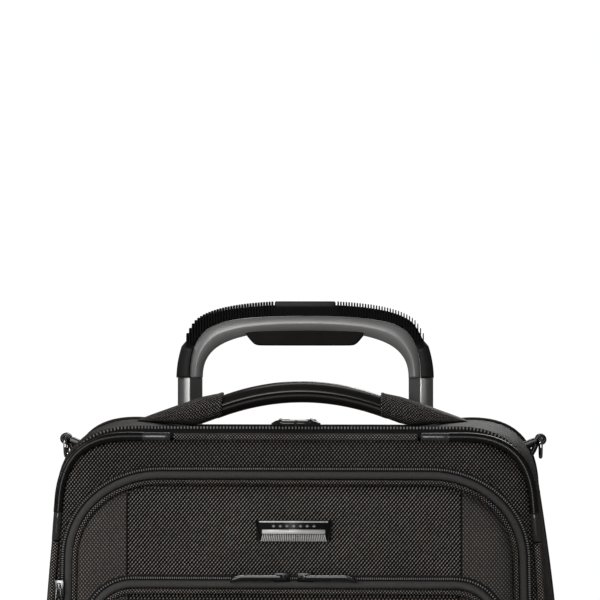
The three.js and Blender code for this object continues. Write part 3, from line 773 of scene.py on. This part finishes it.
def make_lid():
    def outline_at(inset):
        return case_outline(LID_HALF_WIDTH - inset, LID_HALF_HEIGHT - inset, 300)

    rings = [(0.0, -74.4), (0.2, -75.5), (1.4, -77.2), (3.6, -79.0), (7.0, -80.1), (12.0, -80.5),
             (20.0, -80.6)]
    place(ring_panel("lid_cloth", outline_at, rings, nylon), "lid", "ballistic_nylon", "lid_panel")
    backing = ring_panel("lid_lining", outline_at, [(0.4, -74.3), (10.0, -74.2), (20.0, -74.1)], lining)
    place(backing, "lid", "lining_fabric")


POCKET_INSETS = (0.4, 0.2, 1.2, 2.6, 3.4, 4.4, 4.8, 5.8, 8.0, 12.0, 20.0)
BAND_PROFILE = [(0.2, 0.6), (0.8, 2.4), (2.8, 3.0), (4.9, 2.4), (5.5, 0.9), (5.5, 0.2)]
FOLD_PROFILE = [(0.2, -0.8), (0.1, 0.9), (-0.8, 1.7), (-2.0, 1.6), (-3.0, 0.9), (-3.2, -0.8)]


def make_pocket(pocket, cloth, corner, ridge_share, drops, rises, tape, teeth, teeth_body, *teeth_nodes):
    """A padded pocket with a folded edge, and a twill band that covers its zip.

    drops are depths below the ridge that runs round the front, and rises are heights left above the
    front face. teeth is how far back and how far outside the edge the zip teeth are.
    """
    low, high = node_box(f"{pocket}_panel")
    ridge_y = low[1] + (high[1] - low[1]) * ridge_share
    depths = [high[1], *(ridge_y - drop for drop in drops), ridge_y, *(low[1] + rise for rise in rises)]

    def outline_at(inset):
        return pocket_outline(low, high, corner, inset)

    panel = ring_panel(f"{pocket}_cloth", outline_at, list(zip(POCKET_INSETS, depths)), cloth)
    thicken(panel, 1.0, lining)
    place(panel, pocket, "ballistic_nylon", f"{pocket}_panel")
    b = Builder()
    sweep(b, pocket_outline(low, high, corner, 0.2, 700), ridge_y - 1.0, FOLD_PROFILE, closed=True,
          closed_profile=False)
    place(b.make(f"{pocket}_fold", nylon_piping), pocket, "ballistic_nylon")
    path = open_run(pocket_outline(low, high, corner, 0.0, 700), low[2] + 26)
    b = Builder()
    base_y = high[1] - 0.3
    sweep(b, path, base_y, BAND_PROFILE, closed_profile=False)
    rod_row(b, path, base_y - 3.05, 1.2, pitch=2.6, length=1.7, radius=0.2, sides=5, lengthways=True)
    place(b.make(f"{pocket}_zip_cover", twill), pocket, "twill_tape", f"{pocket}_zip_band")
    b = Builder()
    sweep(b, path, high[1] + 0.2, tape, closed_profile=False)
    back, outside = teeth
    rod_row(b, path, high[1] - back, outside, pitch=1.46, length=1.3, radius=0.34, material=1)
    place(b.make(f"{pocket}_zip_teeth", dark_tape, coil), teeth_body, "zipper_coil", *teeth_nodes)


def make_pockets():
    make_pocket("pocket_1", nylon_pocket_1, 52, 0.78, (1.2, 2.2, 1.8, 0.2), (7, 3.4, 1.5, 0.6, 0),
                [(5.6, 0.6), (7.6, 1.0), (9.0, 0.4)], (1.1, 7.4), "lid", "pocket_1_zip_frame")
    make_pocket("pocket_2", nylon_pocket_2, 24, 0.72, (1.0, 2.0, 1.6, 0.1), (5, 2.4, 1.0, 0.3, 0),
                [(5.6, 0.6), (7.6, 0.9), (9.2, 0.2)], (1.0, 7.2), "pocket_1")


# ---- badge
BADGE_RIBS = 36
LOZENGES = 7
LOZENGE_PITCH = 4.6
LOZENGE_Z = 480.7


def bar(builder, x0, x1, y0, y1, z0, z1, corner):
    """A rounded bar along X."""
    middle = (z0 + z1) / 2
    half = (z1 - z0) / 2
    sweep(builder, [(x0, middle), (x1, middle)], y1, box_profile(-half, half, 0, y1 - y0, corner))


def make_badge():
    """A flared recess: a bright line, a black band with plain lozenges, a bright bar and a ribbed one."""
    low, high = node_box("badge_frame")
    front = low[1]
    b = Builder()
    bar(b, -25.6, 25.6, front + 0.9, front + 1.9, low[2] + 0.4, high[2] - 0.4, 0.3)
    flare = [(-25.9, high[2]), (-23.0, low[2]), (23.0, low[2]), (25.9, high[2])]
    sweep(b, flare, front + 2.0, box_profile(0, 0.7, 0, 1.7, 0.25))
    place(b.make("badge_recess", badge_black), "pocket_1", "dark_metal", "badge_frame")
    b = Builder()
    bar(b, -23.4, 23.4, front - 0.4, front + 1.2, high[2] - 1.5, high[2] - 0.5, 0.3)
    bar(b, -21.4, 21.4, front - 1.3, front + 1.0, 475.6, 478.4, 1.2)
    for i in range(BADGE_RIBS):
        share = (i / (BADGE_RIBS - 1) - 0.5) * 2
        rings = []
        for z, half, reach, forward in ((475.2, 0.36, 21.0, 0.1), (473.0, 0.4, 21.3, 0.4),
                                        (470.5, 0.44, 22.0, 0.8)):
            x = share * reach
            y = front - forward
            rings.append([(x - half, y + 1.4, z), (x - half * 0.5, y, z),
                          (x + half * 0.5, y, z), (x + half, y + 1.4, z)])
        b.loft(rings)
    place(b.make("badge_bars", badge_chrome), "pocket_1", "bright_metal", "badge_plate")
    b = Builder()
    y = front + 0.7
    for i in range(LOZENGES):
        x = (i - (LOZENGES - 1) // 2) * LOZENGE_PITCH
        b.solid([(x - 1.3, y, LOZENGE_Z), (x, y, LOZENGE_Z + 1),
                 (x + 1.3, y, LOZENGE_Z), (x, y, LOZENGE_Z - 1)], [(0, 3, 2, 1)])
    place(b.make("badge_lozenges", lozenge_metal, smooth=False), "pocket_1", "bright_metal")


# ---- zip sliders and pulls
def rounded_block(name, boxes, material, width):
    """Boxes, each a low and a high corner, as one object with rounded edges."""
    b = Builder()
    for low, high in boxes:
        b.solid(box_corners(low, high), BOX_FACES)
    return bevel(b.make(name, material), width, segments=3)


def make_pocket_2_pull(word, side):
    """A slider with a hoop, and a flat tab that lies outwards and curls down at its far end."""
    slider = f"pocket_2_slider_{word}"
    low, high = node_box(slider)
    middle = (low[0] + high[0]) / 2
    z = (low[2] + high[2]) / 2
    body = rounded_block(f"{slider}_body",
                         [((low[0], low[1] + 1.7, z - 3.4), (high[0], high[1] - 1.2, z + 3.4))],
                         gunmetal, 0.5)
    place(body, slider, "dark_metal", slider)
    near, far = middle - 3.2 * side, middle + 3.2 * side
    hoop = bezier((near, low[1] + 2.0), (near, low[1] - 0.7), (far, low[1] - 0.7), (far, low[1] + 2.0), 14)
    b = Builder()
    b.loft([[(x, y, z - 1.5), (x, y - 0.7, z - 1.5), (x, y - 0.7, z + 1.5), (x, y, z + 1.5)]
            for x, y in hoop])
    place(bevel(b.make(f"{slider}_bridge", nickel), 0.25), slider, "bright_metal")

    pull = f"pocket_2_pull_{word}"
    low, high = node_box(pull)
    near = middle - 0.6 * side
    far = high[0] if side > 0 else low[0]

    def spot(share):
        """Where the tab is at this share of its length, and how far it has curled down."""
        return near + (far - near) * share, 2.2 * max(share - 0.8, 0) / 0.2

    rows = []
    for share in np.linspace(0, 1, 16):
        x, curl = spot(share)
        half = 2.0 - 0.5 * max(share - 0.85, 0) / 0.15
        rows.append([(x, high[1], z - half - curl), (x, low[1], z - half + 0.3 - curl),
                     (x, low[1], z + half - 0.5 - curl), (x, high[1], z + half - curl)])
    b = Builder()
    b.loft(rows)
    place(bevel(b.make(f"{pull}_tab", black_gloss), 0.4), pull, "dark_metal", pull)
    rows = []
    for share in np.linspace(0.06, 0.97, 16):
        x, curl = spot(share)
        top = z + 2.0 - curl
        rows.append([(x, low[1] + 0.4, top), (x, low[1] - 0.2, top - 0.3), (x, low[1] + 0.1, top - 0.8),
                     (x, low[1] + 0.6, top - 0.4)])
    b = Builder()
    b.loft(rows)
    place(b.make(f"{pull}_edge", nickel), pull, "dark_metal")


def make_pocket_1_pull():
    """A slider with a bridge, and an open frame that hangs from it."""
    low, high = node_box("pocket_1_slider")
    x = (low[0] + high[0]) / 2
    boxes = [((low[0], low[1] + 1.7, low[2]), high),
             ((x - 1.2, low[1], high[2] - 9), (x + 1.2, low[1] + 2, high[2] - 2))]
    body = rounded_block("pocket_1_slider_body", boxes, nickel, 0.8)
    place(body, "pocket_1_slider", "bright_metal", "pocket_1_slider")
    low, high = node_box("pocket_1_pull")
    left = [(x - 1.6, high[2]), (x - 2.6, high[2] - 9), (x - 3.0, low[2] + 3), (x - 2.2, low[2])]
    right = [(x + 2.2, low[2]), (x + 3.0, low[2] + 3), (x + 2.6, high[2] - 9), (x + 1.6, high[2])]
    b = Builder()
    sweep(b, left + right, high[1], box_profile(-0.9, 0.0, 0.1, 1.5, 0.3), closed=True)
    place(b.make("pocket_1_pull_frame", nickel), "pocket_1_pull", "bright_metal", "pocket_1_pull")


def make_main_slider(word, side):
    """One half of a low gloss oval: thick at the middle of the case, with an upturned outer tip."""
    slider = f"main_zip_slider_{word}"
    low, high = node_box(slider)
    near, far = 0.2, 17.0
    middle_y = low[1] + 6.5
    bottom = low[2] + 0.2
    rows = []
    for share in np.linspace(0, 1, 18):
        x = (near + (far - near) * share) * side
        shoulder = min(max((share - 0.62) / 0.38, 0), 1)
        top = high[2] - 0.4 - 2.4 * shoulder**2 + (1.0 if 0.56 < share < 0.66 else 0)
        reach = 1 - 0.35 * share**3
        rows.append([(x, middle_y + 6.4 * reach * squared(math.cos(angle), 0.75),
                      (top + bottom) / 2 + (top - bottom) / 2 * squared(math.sin(angle), 0.75))
                     for angle in circle(20)])
    b = Builder()
    b.loft(rows)
    place(b.make(f"{slider}_body", black_gloss), slider, "dark_metal", slider)
    pull = f"main_zip_pull_{word}"
    place(rounded_block(f"{pull}_tab", [node_box(pull)], gunmetal, 0.7), pull, "dark_metal", pull)


# ---- carry handle and rings
GRIP_ROWS = 60
GRIP_COLUMNS = 44


def make_carry_grip():
    """A padded grip: a gloss wrap over the top, a seam a little below its middle, darker cloth below."""
    low, high = node_box("carry_handle_grip")
    depth = (low[1] + high[1]) / 2
    reach = high[0] + 4.4
    angles = circle(GRIP_COLUMNS)
    lower_from, lower_to = math.radians(188), math.radians(352)
    rings = []
    for share in np.linspace(-1, 1, GRIP_ROWS):
        x = reach * share
        z = high[2] - 8 - 9.3 * (x / 54.6) ** 2
        ring = []
        for angle in angles:
            below = lower_from < angle < lower_to
            edge = min(abs(angle - lower_from), abs(angle - lower_to), 0.16) / 0.16
            swell = 0.87 + 0.1 * edge if below else 1.0
            flat = 1.0 if math.sin(angle) > 0 else 0.98
            ring.append((x, depth + 12 * swell * math.cos(angle), z + 8 * swell * flat * math.sin(angle)))
        rings.append(ring)
    b = Builder()
    b.loft(rings)
    below = [int(lower_from < angle + math.pi / GRIP_COLUMNS < lower_to) for angle in angles]
    b.face_materials[:-2] = below * (GRIP_ROWS - 1)
    grip = b.make("carry_handle_grip_wrap", leather, grip_underside)
    place(grip, "carry_handle", "handle_leather", "carry_handle_grip")


SLEEVE_DEPTH = 35.0
SLEEVE_TOP = np.array([(57.4, 567.2), (72, 564.3), (90, 558.2), (108, 551.8), (119.5, 547.4)])
SLEEVE_BOTTOM = np.array([(57.4, 550.0), (71, 545.0), (80, 543.2), (100, 544.6), (119.5, 546.6)])
SLEEVE_LIP = [(57.4, 0.86), (57.5, 1.0), (58.6, 1.05), (59.6, 1.02)]


def make_sleeve(word, side):
    """The woven end of the carry handle, with a lip round the grip and two stitched rows."""
    def spot(x, angle, grow):
        high = np.interp(x, *SLEEVE_TOP.T)
        low = np.interp(x, *SLEEVE_BOTTOM.T)
        c = squared(math.cos(angle), 0.62)
        s = squared(math.sin(angle), 0.8)
        return (x * side, SLEEVE_DEPTH + 12.6 * grow * c, (high + low) / 2 + (high - low) / 2 * grow * s)

    rows = SLEEVE_LIP + [(x, 1.0) for x in np.linspace(61, 119.5, 30)]
    rings = [[spot(x, angle, grow) for angle in circle(32)] for x, grow in rows]
    b = Builder()
    b.grid(rings, np.array(rows)[:, :1], np.linspace(0, 74, 33)[None, :], close_columns=True, cap_rows=True)
    for height in (0.52, 0.06, -0.36):
        angle = math.pi + math.asin(-height)
        line = np.array([spot(x, angle, 1.01) for x in np.linspace(60.5, 112, 19)])
        rods(b, (line[1:] + line[:-1]) / 2, line[1:] - line[:-1], 2.1, 0.38, material=1)
    sleeve = b.make(f"carry_handle_sleeve_{word}_cloth", nylon_piping, thread)
    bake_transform(sleeve)
    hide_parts(f"carry_handle_sleeve_{word}")


RING_WIRE = 1.35
STRAP_HEAD = 4.0
# Each run of the strap: how far inwards and how far down from the ring's bar, and half its thickness.
STRAP_RUNS = [([(1, 1), (6, 2.4), (14, 6)], 2.9), ([(2.6, 2), (4.6, 7), (8, 13)], 1.8)]


def make_ring(word, side):
    """A sewn strap with a round head that holds the straight bar of a hanging D-ring."""
    low, high = node_box(f"d_ring_{word}")
    x, y, _ = (low + high) / 2
    bar_z = high[2] - RING_WIRE
    strap_low, strap_high = node_box(f"ring_loop_{word}")
    half_depth = (strap_high[1] - strap_low[1]) / 2
    b = Builder()
    head = [(x + STRAP_HEAD * math.cos(t), bar_z + STRAP_HEAD * math.sin(t)) for t in circle(27)]
    sweep(b, head, y, box_profile(-2.5, 0.2, -half_depth, half_depth, 0.8), closed=True)
    for run, thickness in STRAP_RUNS:
        path = resample([(x - inwards * side, bar_z - down) for inwards, down in run], 12)
        sweep(b, path, y, box_profile(-thickness, thickness, -half_depth, half_depth, 1.2))
    place(b.make(f"ring_loop_{word}_strap", leather), "case", "handle_leather", f"ring_loop_{word}")
    half = (high[1] - low[1]) / 2 - RING_WIRE
    foot_z = low[2] + RING_WIRE + half
    line = [(y + half, bar_z), (y - half, bar_z)]
    line += [(y - half * math.cos(t), foot_z - half * math.sin(t)) for t in np.linspace(0, math.pi, 18)]
    _, outward = frames_along(line, closed=True)
    rings = [[(x + RING_WIRE * math.sin(t), py + oy * RING_WIRE * math.cos(t),
               pz + oz * RING_WIRE * math.cos(t)) for t in circle(12)]
             for (py, pz), (oy, oz) in zip(line, outward)]
    b = Builder()
    b.grid(rings, close_rows=True, close_columns=True)
    place(b.make(f"d_ring_{word}_wire", chrome), f"d_ring_{word}", "bright_metal", f"d_ring_{word}")


# ---- trolley handle
TROLLEY_Y = 93.0
GRIP_FOOT_Z = 576.6
BUTTON_TROUGH = 23.4
FIN_DEPTH = 8.2
FIN_PITCH = 2.05
FINS_EACH_SIDE = 43


def arch(foot, leg_controls, shoulder, crown_controls, crown):
    """A line round the trolley grip: up each side from its foot, over the shoulder to the middle."""
    leg = bezier((foot, GRIP_FOOT_Z), leg_controls[:2], leg_controls[2:], shoulder, 40)
    top = bezier(shoulder, crown_controls[:2], crown_controls[2:], (0, crown), 50)
    right = resample(np.vstack([leg, top[1:]]), 90)
    return np.vstack([right, right[-2::-1] * [-1, 1]])


BAIL_OUTER = arch(96, (96, 592, 90.5, 608), (83, 618.5), (75, 627.5, 52, 634), 634)
BAIL_RIDGE = arch(86.2, (86.2, 592, 83.5, 601), (77, 609.5), (69.5, 619, 48, 622.5), 622.5)
BAIL_INNER = arch(77.1, (77.3, 588, 72.5, 594.5), (66.5, 599), (56, 606.5, 35, 611.5), 611.5)


def ring_between(near, far, section):
    """A ring of points from (share of the way from near to far, distance forwards) pairs."""
    return [(near[0] + (far[0] - near[0]) * share, TROLLEY_Y - forward,
             near[1] + (far[1] - near[1]) * share) for share, forward in section]


def add_fin(builder, x, low, high, behind=FIN_DEPTH, ahead=FIN_DEPTH):
    """One upright fin, narrower towards its top, where the grip's front and back faces lean in too."""
    rows = []
    for z, half_width, trim in ((low, 0.48, 0.0), (high - 2.5, 0.46, 0.0),
                                (high - 0.5, 0.4, 0.2), (high, 0.3, 0.8)):
        back = TROLLEY_Y + behind - trim * (behind == FIN_DEPTH)
        front = TROLLEY_Y - ahead + trim * (ahead == FIN_DEPTH)
        rows.append([(x - half_width, front, z), (x + half_width, front, z),
                     (x + half_width, back, z), (x - half_width, back, z)])
    builder.loft(rows)


def make_comb_base():
    """Rubber round the top of the grip: full on the legs, lower under the fins and under the button."""
    rows = []
    for near, far in zip(BAIL_RIDGE, BAIL_OUTER):
        finned = min(max((far[1] - 600) / 6, 0), 1)
        reach = 0.2 if abs(far[0]) < BUTTON_TROUGH else 1 - 0.25 * finned
        front = 8.2 - 4.4 * finned
        section = [(0.0, front), (0.08, front + 0.2), (reach - 0.12, front), (reach, front - 1.2)]
        section += [(share, -forward) for share, forward in section[::-1]]
        rows.append(ring_between(near, far, section))
    b = Builder()
    b.loft(rows)
    columns = len(section)
    # The finned top takes the darker comb rubber: painted shade among the fins.
    for row in range(len(rows) - 1):
        if BAIL_OUTER[row, 1] > 605:
            b.face_materials[row * columns:(row + 1) * columns] = [1] * columns
    base = b.make("trolley_grip_rubber_base", grip_rubber, comb_rubber_painted_shade)
    place(base, "trolley_upper", "guard_rubber", "trolley_grip_rubber")


def make_comb_fins():
    """Upright fins over the grip. In the middle they only stand round a trough that takes the button."""
    right = len(BAIL_OUTER) // 2 + 1
    b = Builder()
    for step in range(-FINS_EACH_SIDE, FINS_EACH_SIDE + 1):
        x = step * FIN_PITCH
        low = np.interp(-abs(x), -BAIL_RIDGE[:right, 0], BAIL_RIDGE[:right, 1])
        high = np.interp(-abs(x), -BAIL_OUTER[:right, 0], BAIL_OUTER[:right, 1])
        low = max(low + 0.4, high - 15)
        if abs(x) > BUTTON_TROUGH:
            add_fin(b, x, low, high)
        else:
            add_fin(b, x, low, 628.4, ahead=-6.4)
            add_fin(b, x, low, 628.4, behind=-6.4)
    wall = BUTTON_TROUGH + 0.6
    for y in (TROLLEY_Y - 6.7, TROLLEY_Y + 6.3):
        bar(b, -wall, wall, y, y + 0.5, 622.5, 629.6, 0.1)
    # The fins are in the darker comb rubber: painted shade among them.
    place(b.make("trolley_grip_fins", comb_rubber_painted_shade, smooth=False), "trolley_upper", "guard_rubber")


PAD_RIGHT = [(0, 600.3), (32, 600.3), (36, 600.4), (38.5, 601.6), (41.5, 605.0), (44.6, 609.0),
             (44.8, 610.4), (42, 611.4), (20, 612.0), (0, 612.2)]
# Depth of each ring of the pad, and how far it is grown.
PAD_RINGS = [(85.6, -2.2), (85.0, -0.9), (86.2, 0.0), (99.8, 0.0), (101.0, -0.9), (100.4, -2.2)]
# The core's section: share of the way from the inner line to the ridge, and distance forwards.
CORE_SECTION = [(0.03, -6.6), (0.0, -6.0), (0.0, 6.0), (0.03, 6.8), (0.5, 8.0), (0.53, 8.0), (0.96, 6.9),
                (0.99, 6.3), (0.99, -6.3), (0.96, -6.9), (0.53, -8.0), (0.5, -8.0)]


def make_soft_pad():
    """The pad under the grip: a trapezoid seen from the front, with rounded front and back."""
    loop = np.vstack([PAD_RIGHT, np.array(PAD_RIGHT[-2:0:-1]) * [-1, 1]])
    middle = loop.mean(axis=0)
    half_size = np.array([45, 6])
    b = Builder()
    b.loft([at_depth(middle + (loop - middle) * (1 + grow / half_size), y) for y, grow in PAD_RINGS])
    pad = b.make("trolley_grip_soft_pad", soft_pad)
    modifier = pad.modifiers.new("Smooth", "SUBSURF")
    modifier.levels = 1
    modifier.render_levels = 1
    place(pad, "trolley_upper", "handle_leather", "trolley_grip_pad")


def make_trolley_grip():
    b = Builder()
    b.loft([ring_between(near, far, CORE_SECTION) for near, far in zip(BAIL_INNER, BAIL_RIDGE)])
    core = b.make("trolley_grip_core_shell", pewter)
    place(core, "trolley_upper", "grip_pewter", "trolley_grip_core")
    make_comb_base()
    make_comb_fins()
    make_soft_pad()
    button = rounded_block("release_button_cap", [node_box("release_button")], plastic, 1.2)
    place(button, "release_button", "moulded_plastic", "release_button")


# The tube's section, face by face: a rounded outer face, a narrow front ridge and three flats.
TUBE_ROUND = [(0.0, -6.5), (1.6, -6.4), (3.2, -6.05), (4.8, -5.4), (6.3, -4.4), (7.6, -3.0), (8.6, -1.4),
              (9.15, 0.0), (9.0, 1.4), (8.4, 3.2), (7.2, 4.7), (5.4, 5.7), (3.2, 6.2), (0.8, 6.45)]
TUBE_RIDGE = [(0.8, 6.45), (0.3, 6.55), (-0.3, 6.5), (-0.8, 6.34)]
TUBE_FRONT = [(-0.8, 6.34), (-8.5, 3.9)]
TUBE_INNER = [(-8.5, 3.9), (-9.15, 3.2), (-9.15, -3.6), (-8.6, -4.4)]
TUBE_BACK = [(-8.6, -4.4), (0.0, -6.5)]
TUBE_FACES = [TUBE_ROUND, TUBE_RIDGE, TUBE_FRONT, TUBE_INNER, TUBE_BACK]
TUBE_X = 86.4


def make_tube(word, side, node, scale, bottom, top, body, material, slot):
    """One telescoping tube. The outer stages have the same section, scaled up."""
    def spots(section, z):
        return [((TUBE_X + x * scale) * side, TROLLEY_Y - y * scale, z) for x, y in section]

    b = Builder()
    # The front flat takes the darker copy of the metal: painted shade.
    for face in TUBE_FACES:
        b.grid([spots(face, bottom), spots(face, top)], material=int(face is TUBE_FRONT))
    outline = [point for face in TUBE_FACES for point in face[:-1]]
    for z in (bottom, top):
        b.solid(spots(outline, z), [tuple(range(len(outline)))])
    place(b.make(f"{node}_{word}_shell", material, aluminium_painted_shade), body, slot, f"{node}_{word}")


def make_tubes(word, side):
    make_tube(word, side, "trolley_upper_tube", 1.0, 247, 576.3, "trolley_upper", aluminium,
              "trolley_aluminium")
    make_tube(word, side, "trolley_lower_tube", 1.2, 160, 490, "trolley_lower", aluminium,
              "trolley_aluminium")
    make_tube(word, side, "trolley_outer_tube", 1.4, 56.5, 483.5, "case", steel, "outer_tube_steel")


# ---- wheels
SPOKES = 6


def turned(builder, profile, centre, count=40):
    """A solid turned about an axle along X. profile is (radius, offset along the axle) pairs."""
    x, y, z = centre
    rings = [[(x + offset, y + radius * math.cos(angle), z + radius * math.sin(angle))
              for radius, offset in profile] for angle in circle(count)]
    builder.grid(rings, close_rows=True, close_columns=True)


def make_tyre(word):
    """A tyre with rounded shoulders and a groove round its middle."""
    low, high = node_box(f"wheel_tyre_{word}")
    radius = (high[2] - low[2]) / 2
    half = (high[0] - low[0]) / 2
    left = [(20.4, -half + 1.2), (24, -half + 0.4), (28.5, -half), (radius - 1.2, -half + 1.6),
            (radius, -half + 5), (radius, -1.3), (radius - 0.7, -0.8)]
    right = [(out, -along) for out, along in left[::-1]]
    b = Builder()
    turned(b, left + right, (low + high) / 2, 64)
    place(b.make(f"wheel_tyre_{word}_tread", tyre_rubber), f"wheel_{word}", "wheel_tyre",
          f"wheel_tyre_{word}")


def make_hub(word):
    """A rim, a boss and a thin web between them, with spokes."""
    low, high = node_box(f"wheel_hub_{word}")
    tyre_low, tyre_high = node_box(f"wheel_tyre_{word}")
    centre = (tyre_low + tyre_high) / 2
    half = (high[0] - low[0]) / 2
    b = Builder()
    rim = half - 0.6
    boss = half - 1
    turned(b, [(17.0, -rim), (20.0, -rim), (20.0, rim), (17.0, rim)], centre, 64)
    turned(b, [(3.4, -half), (7.2, -half), (7.8, -boss), (7.8, boss), (7.2, half), (3.4, half)], centre)
    turned(b, [(7.6, -1.4), (17.4, -1.4), (17.4, 1.4), (7.6, 1.4)], centre)
    for i in range(SPOKES):
        angle = math.radians(60 * i + 30)
        out = np.array([0, math.cos(angle), math.sin(angle)])
        across = np.array([0, -math.sin(angle), math.cos(angle)]) * 1.9
        b.solid([centre + out * distance + across * sign + [depth, 0, 0]
                 for distance in (7.2, 17.6) for sign in (-1, 1) for depth in (-half + 1.4, half - 1.4)],
                BOX_FACES)
    hub = bevel(b.make(f"wheel_hub_{word}_spokes", plastic), 0.5)
    place(hub, f"wheel_{word}", "wheel_plastic", f"wheel_hub_{word}")


# ---- CAD pieces that keep their own shape
def keep_cad(node, material, rounding):
    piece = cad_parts[node]
    piece.data.materials.clear()
    piece.data.materials.append(material)
    bevel(piece, rounding)


def dress_cad_pieces():
    keep_cad("lining_panel", lining, 0.3)
    keep_cad("side_handle", leather, 1.2)
    mouldings = [("inner_frame", 0.3), ("kick_plate", 0.8), ("trolley_handle_cup", 0.5),
                 ("trolley_base_bracket", 0.8)]
    for word, _ in SIDES:
        mouldings += [(f"wheel_housing_{word}", 1.2), (f"front_foot_{word}", 1.2)]
        keep_cad(f"axle_{word}", steel, 0.3)
    for node, rounding in mouldings:
        keep_cad(node, plastic, rounding)


# ---- stage, lights and camera
FLOOR_SIZE = 3.8


def add_stage(name, geometry, material):
    mesh = bpy.data.meshes.new(name)
    geometry.to_mesh(mesh)
    mesh.materials.append(material)
    made = bpy.data.objects.new(name, mesh)
    bpy.context.scene.collection.objects.link(made)
    return made


def make_stage():
    """A white paper floor that glows more towards its edges, inside a plain white dome."""
    n = Nodes("floor_paper")
    n.colour(level(0.86))
    distance = n.add("VectorMath", operation="LENGTH")
    n.put(n.place(), distance.inputs[0])
    share = n.math("MULTIPLY", distance.outputs["Value"], 1 / FLOOR_SIZE)
    glow = n.ramp(share, (0.25, level(0.42)), (0.95, level(0.95)))
    n.put(level(1.0), n.shader.inputs["Emission Color"])
    n.put(glow, n.shader.inputs["Emission Strength"])
    sheet = bmesh.new()
    bmesh.ops.create_grid(sheet, x_segments=1, y_segments=1, size=FLOOR_SIZE)
    floor = add_stage("floor", sheet, n.finish(0.7))
    floor.visible_glossy = False
    n = Nodes("backdrop_white")
    glow = n.add("Emission")
    n.fill(glow, Strength=1.02)
    n.put(glow.outputs[0], n.tree.nodes["Material Output"].inputs["Surface"])
    dome = bmesh.new()
    bmesh.ops.create_uvsphere(dome, u_segments=32, v_segments=16, radius=9)
    backdrop = add_stage("backdrop", dome, n.material)
    for flag in ("visible_diffuse", "visible_glossy", "visible_transmission", "visible_shadow"):
        setattr(backdrop, flag, False)


def area_light(name, location, target, size, size_y, power, mirrored=True):
    """A softbox. One that isn't mirrored lights cloth but leaves no reflection in glossy pieces."""
    data = bpy.data.lights.new(name, "AREA")
    data.shape = "RECTANGLE"
    data.size = size
    data.size_y = size_y
    data.energy = power
    light = bpy.data.objects.new(name, data)
    light.location = location
    light.rotation_euler = (Vector(target) - Vector(location)).to_track_quat("-Z", "Y").to_euler()
    light.visible_glossy = mirrored
    bpy.context.scene.collection.objects.link(light)


def make_lights():
    world = bpy.data.worlds.new("studio")
    bpy.context.scene.world = world
    world.use_nodes = True
    background = world.node_tree.nodes["Background"]
    background.inputs["Color"].default_value = (1, 1, 1, 1)
    background.inputs["Strength"].default_value = 0.045
    area_light("top_softbox", (-0.2, -1.3, 1.85), (0, 0, 0.5), 0.8, 0.5, 8, mirrored=False)
    area_light("overhead_softbox", (0.0, 0.2, 2.2), (0, 0, 0.5), 0.8, 0.8, 6, mirrored=False)
    area_light("rear_overhead", (0.0, 1.1, 1.9), (0, 0, 0.55), 0.9, 0.5, 2)
    area_light("front_softbox", (-0.32, -2.45, 1.15), (0, 0, 0.55), 0.84, 1.4, 18)
    area_light("left_strip", (-1.9, -0.5, 1.7), (0, 0, 0.5), 0.25, 0.9, 6)
    area_light("left_softbox", (-1.7, -1.3, 1.0), (0, 0, 0.45), 0.6, 1.3, 18, mirrored=False)
    area_light("right_softbox", (1.7, -0.9, 0.9), (0, 0, 0.45), 0.4, 1.2, 0.5, mirrored=False)
    area_light("back_rim", (0.3, 1.6, 1.5), (0, 0, 0.5), 1.0, 1.0, 14)


CAMERA_TURN = math.radians(2.4)
CAMERA_DISTANCE = 2.0
CAMERA_HEIGHT = 0.6345


def make_camera():
    """Almost straight on: from a little above the case's top, and slightly to its right."""
    data = bpy.data.cameras.new("front_view")
    data.lens = 174
    data.sensor_width = 36
    data.clip_end = 30
    camera = bpy.data.objects.new("front_view", data)
    sideways = Vector((math.cos(CAMERA_TURN), math.sin(CAMERA_TURN), 0))
    backwards = Vector((math.sin(CAMERA_TURN), -math.cos(CAMERA_TURN), 0))
    pivot = Vector((MIDDLE_X * MM, PIPING_Y * MM, CAMERA_HEIGHT))
    camera.location = pivot + sideways * 0.0031 + backwards * CAMERA_DISTANCE
    camera.rotation_euler = (math.radians(90), 0, CAMERA_TURN)
    bpy.context.scene.collection.objects.link(camera)
    bpy.context.scene.camera = camera


# ---- put together
make_gusset()
make_welt()
make_back()
make_piping()
make_main_zip()
make_lid()
make_pockets()
make_badge()
make_pocket_1_pull()
make_carry_grip()
make_trolley_grip()
for word, side in SIDES:
    make_guard(word, side)
    make_pocket_2_pull(word, side)
    make_main_slider(word, side)
    make_sleeve(word, side)
    make_ring(word, side)
    make_tyre(word)
    make_hub(word)
    make_tubes(word, side)
dress_cad_pieces()
make_stage()
make_lights()
make_camera()
bpy.context.scene.view_settings.view_transform = "Standard"
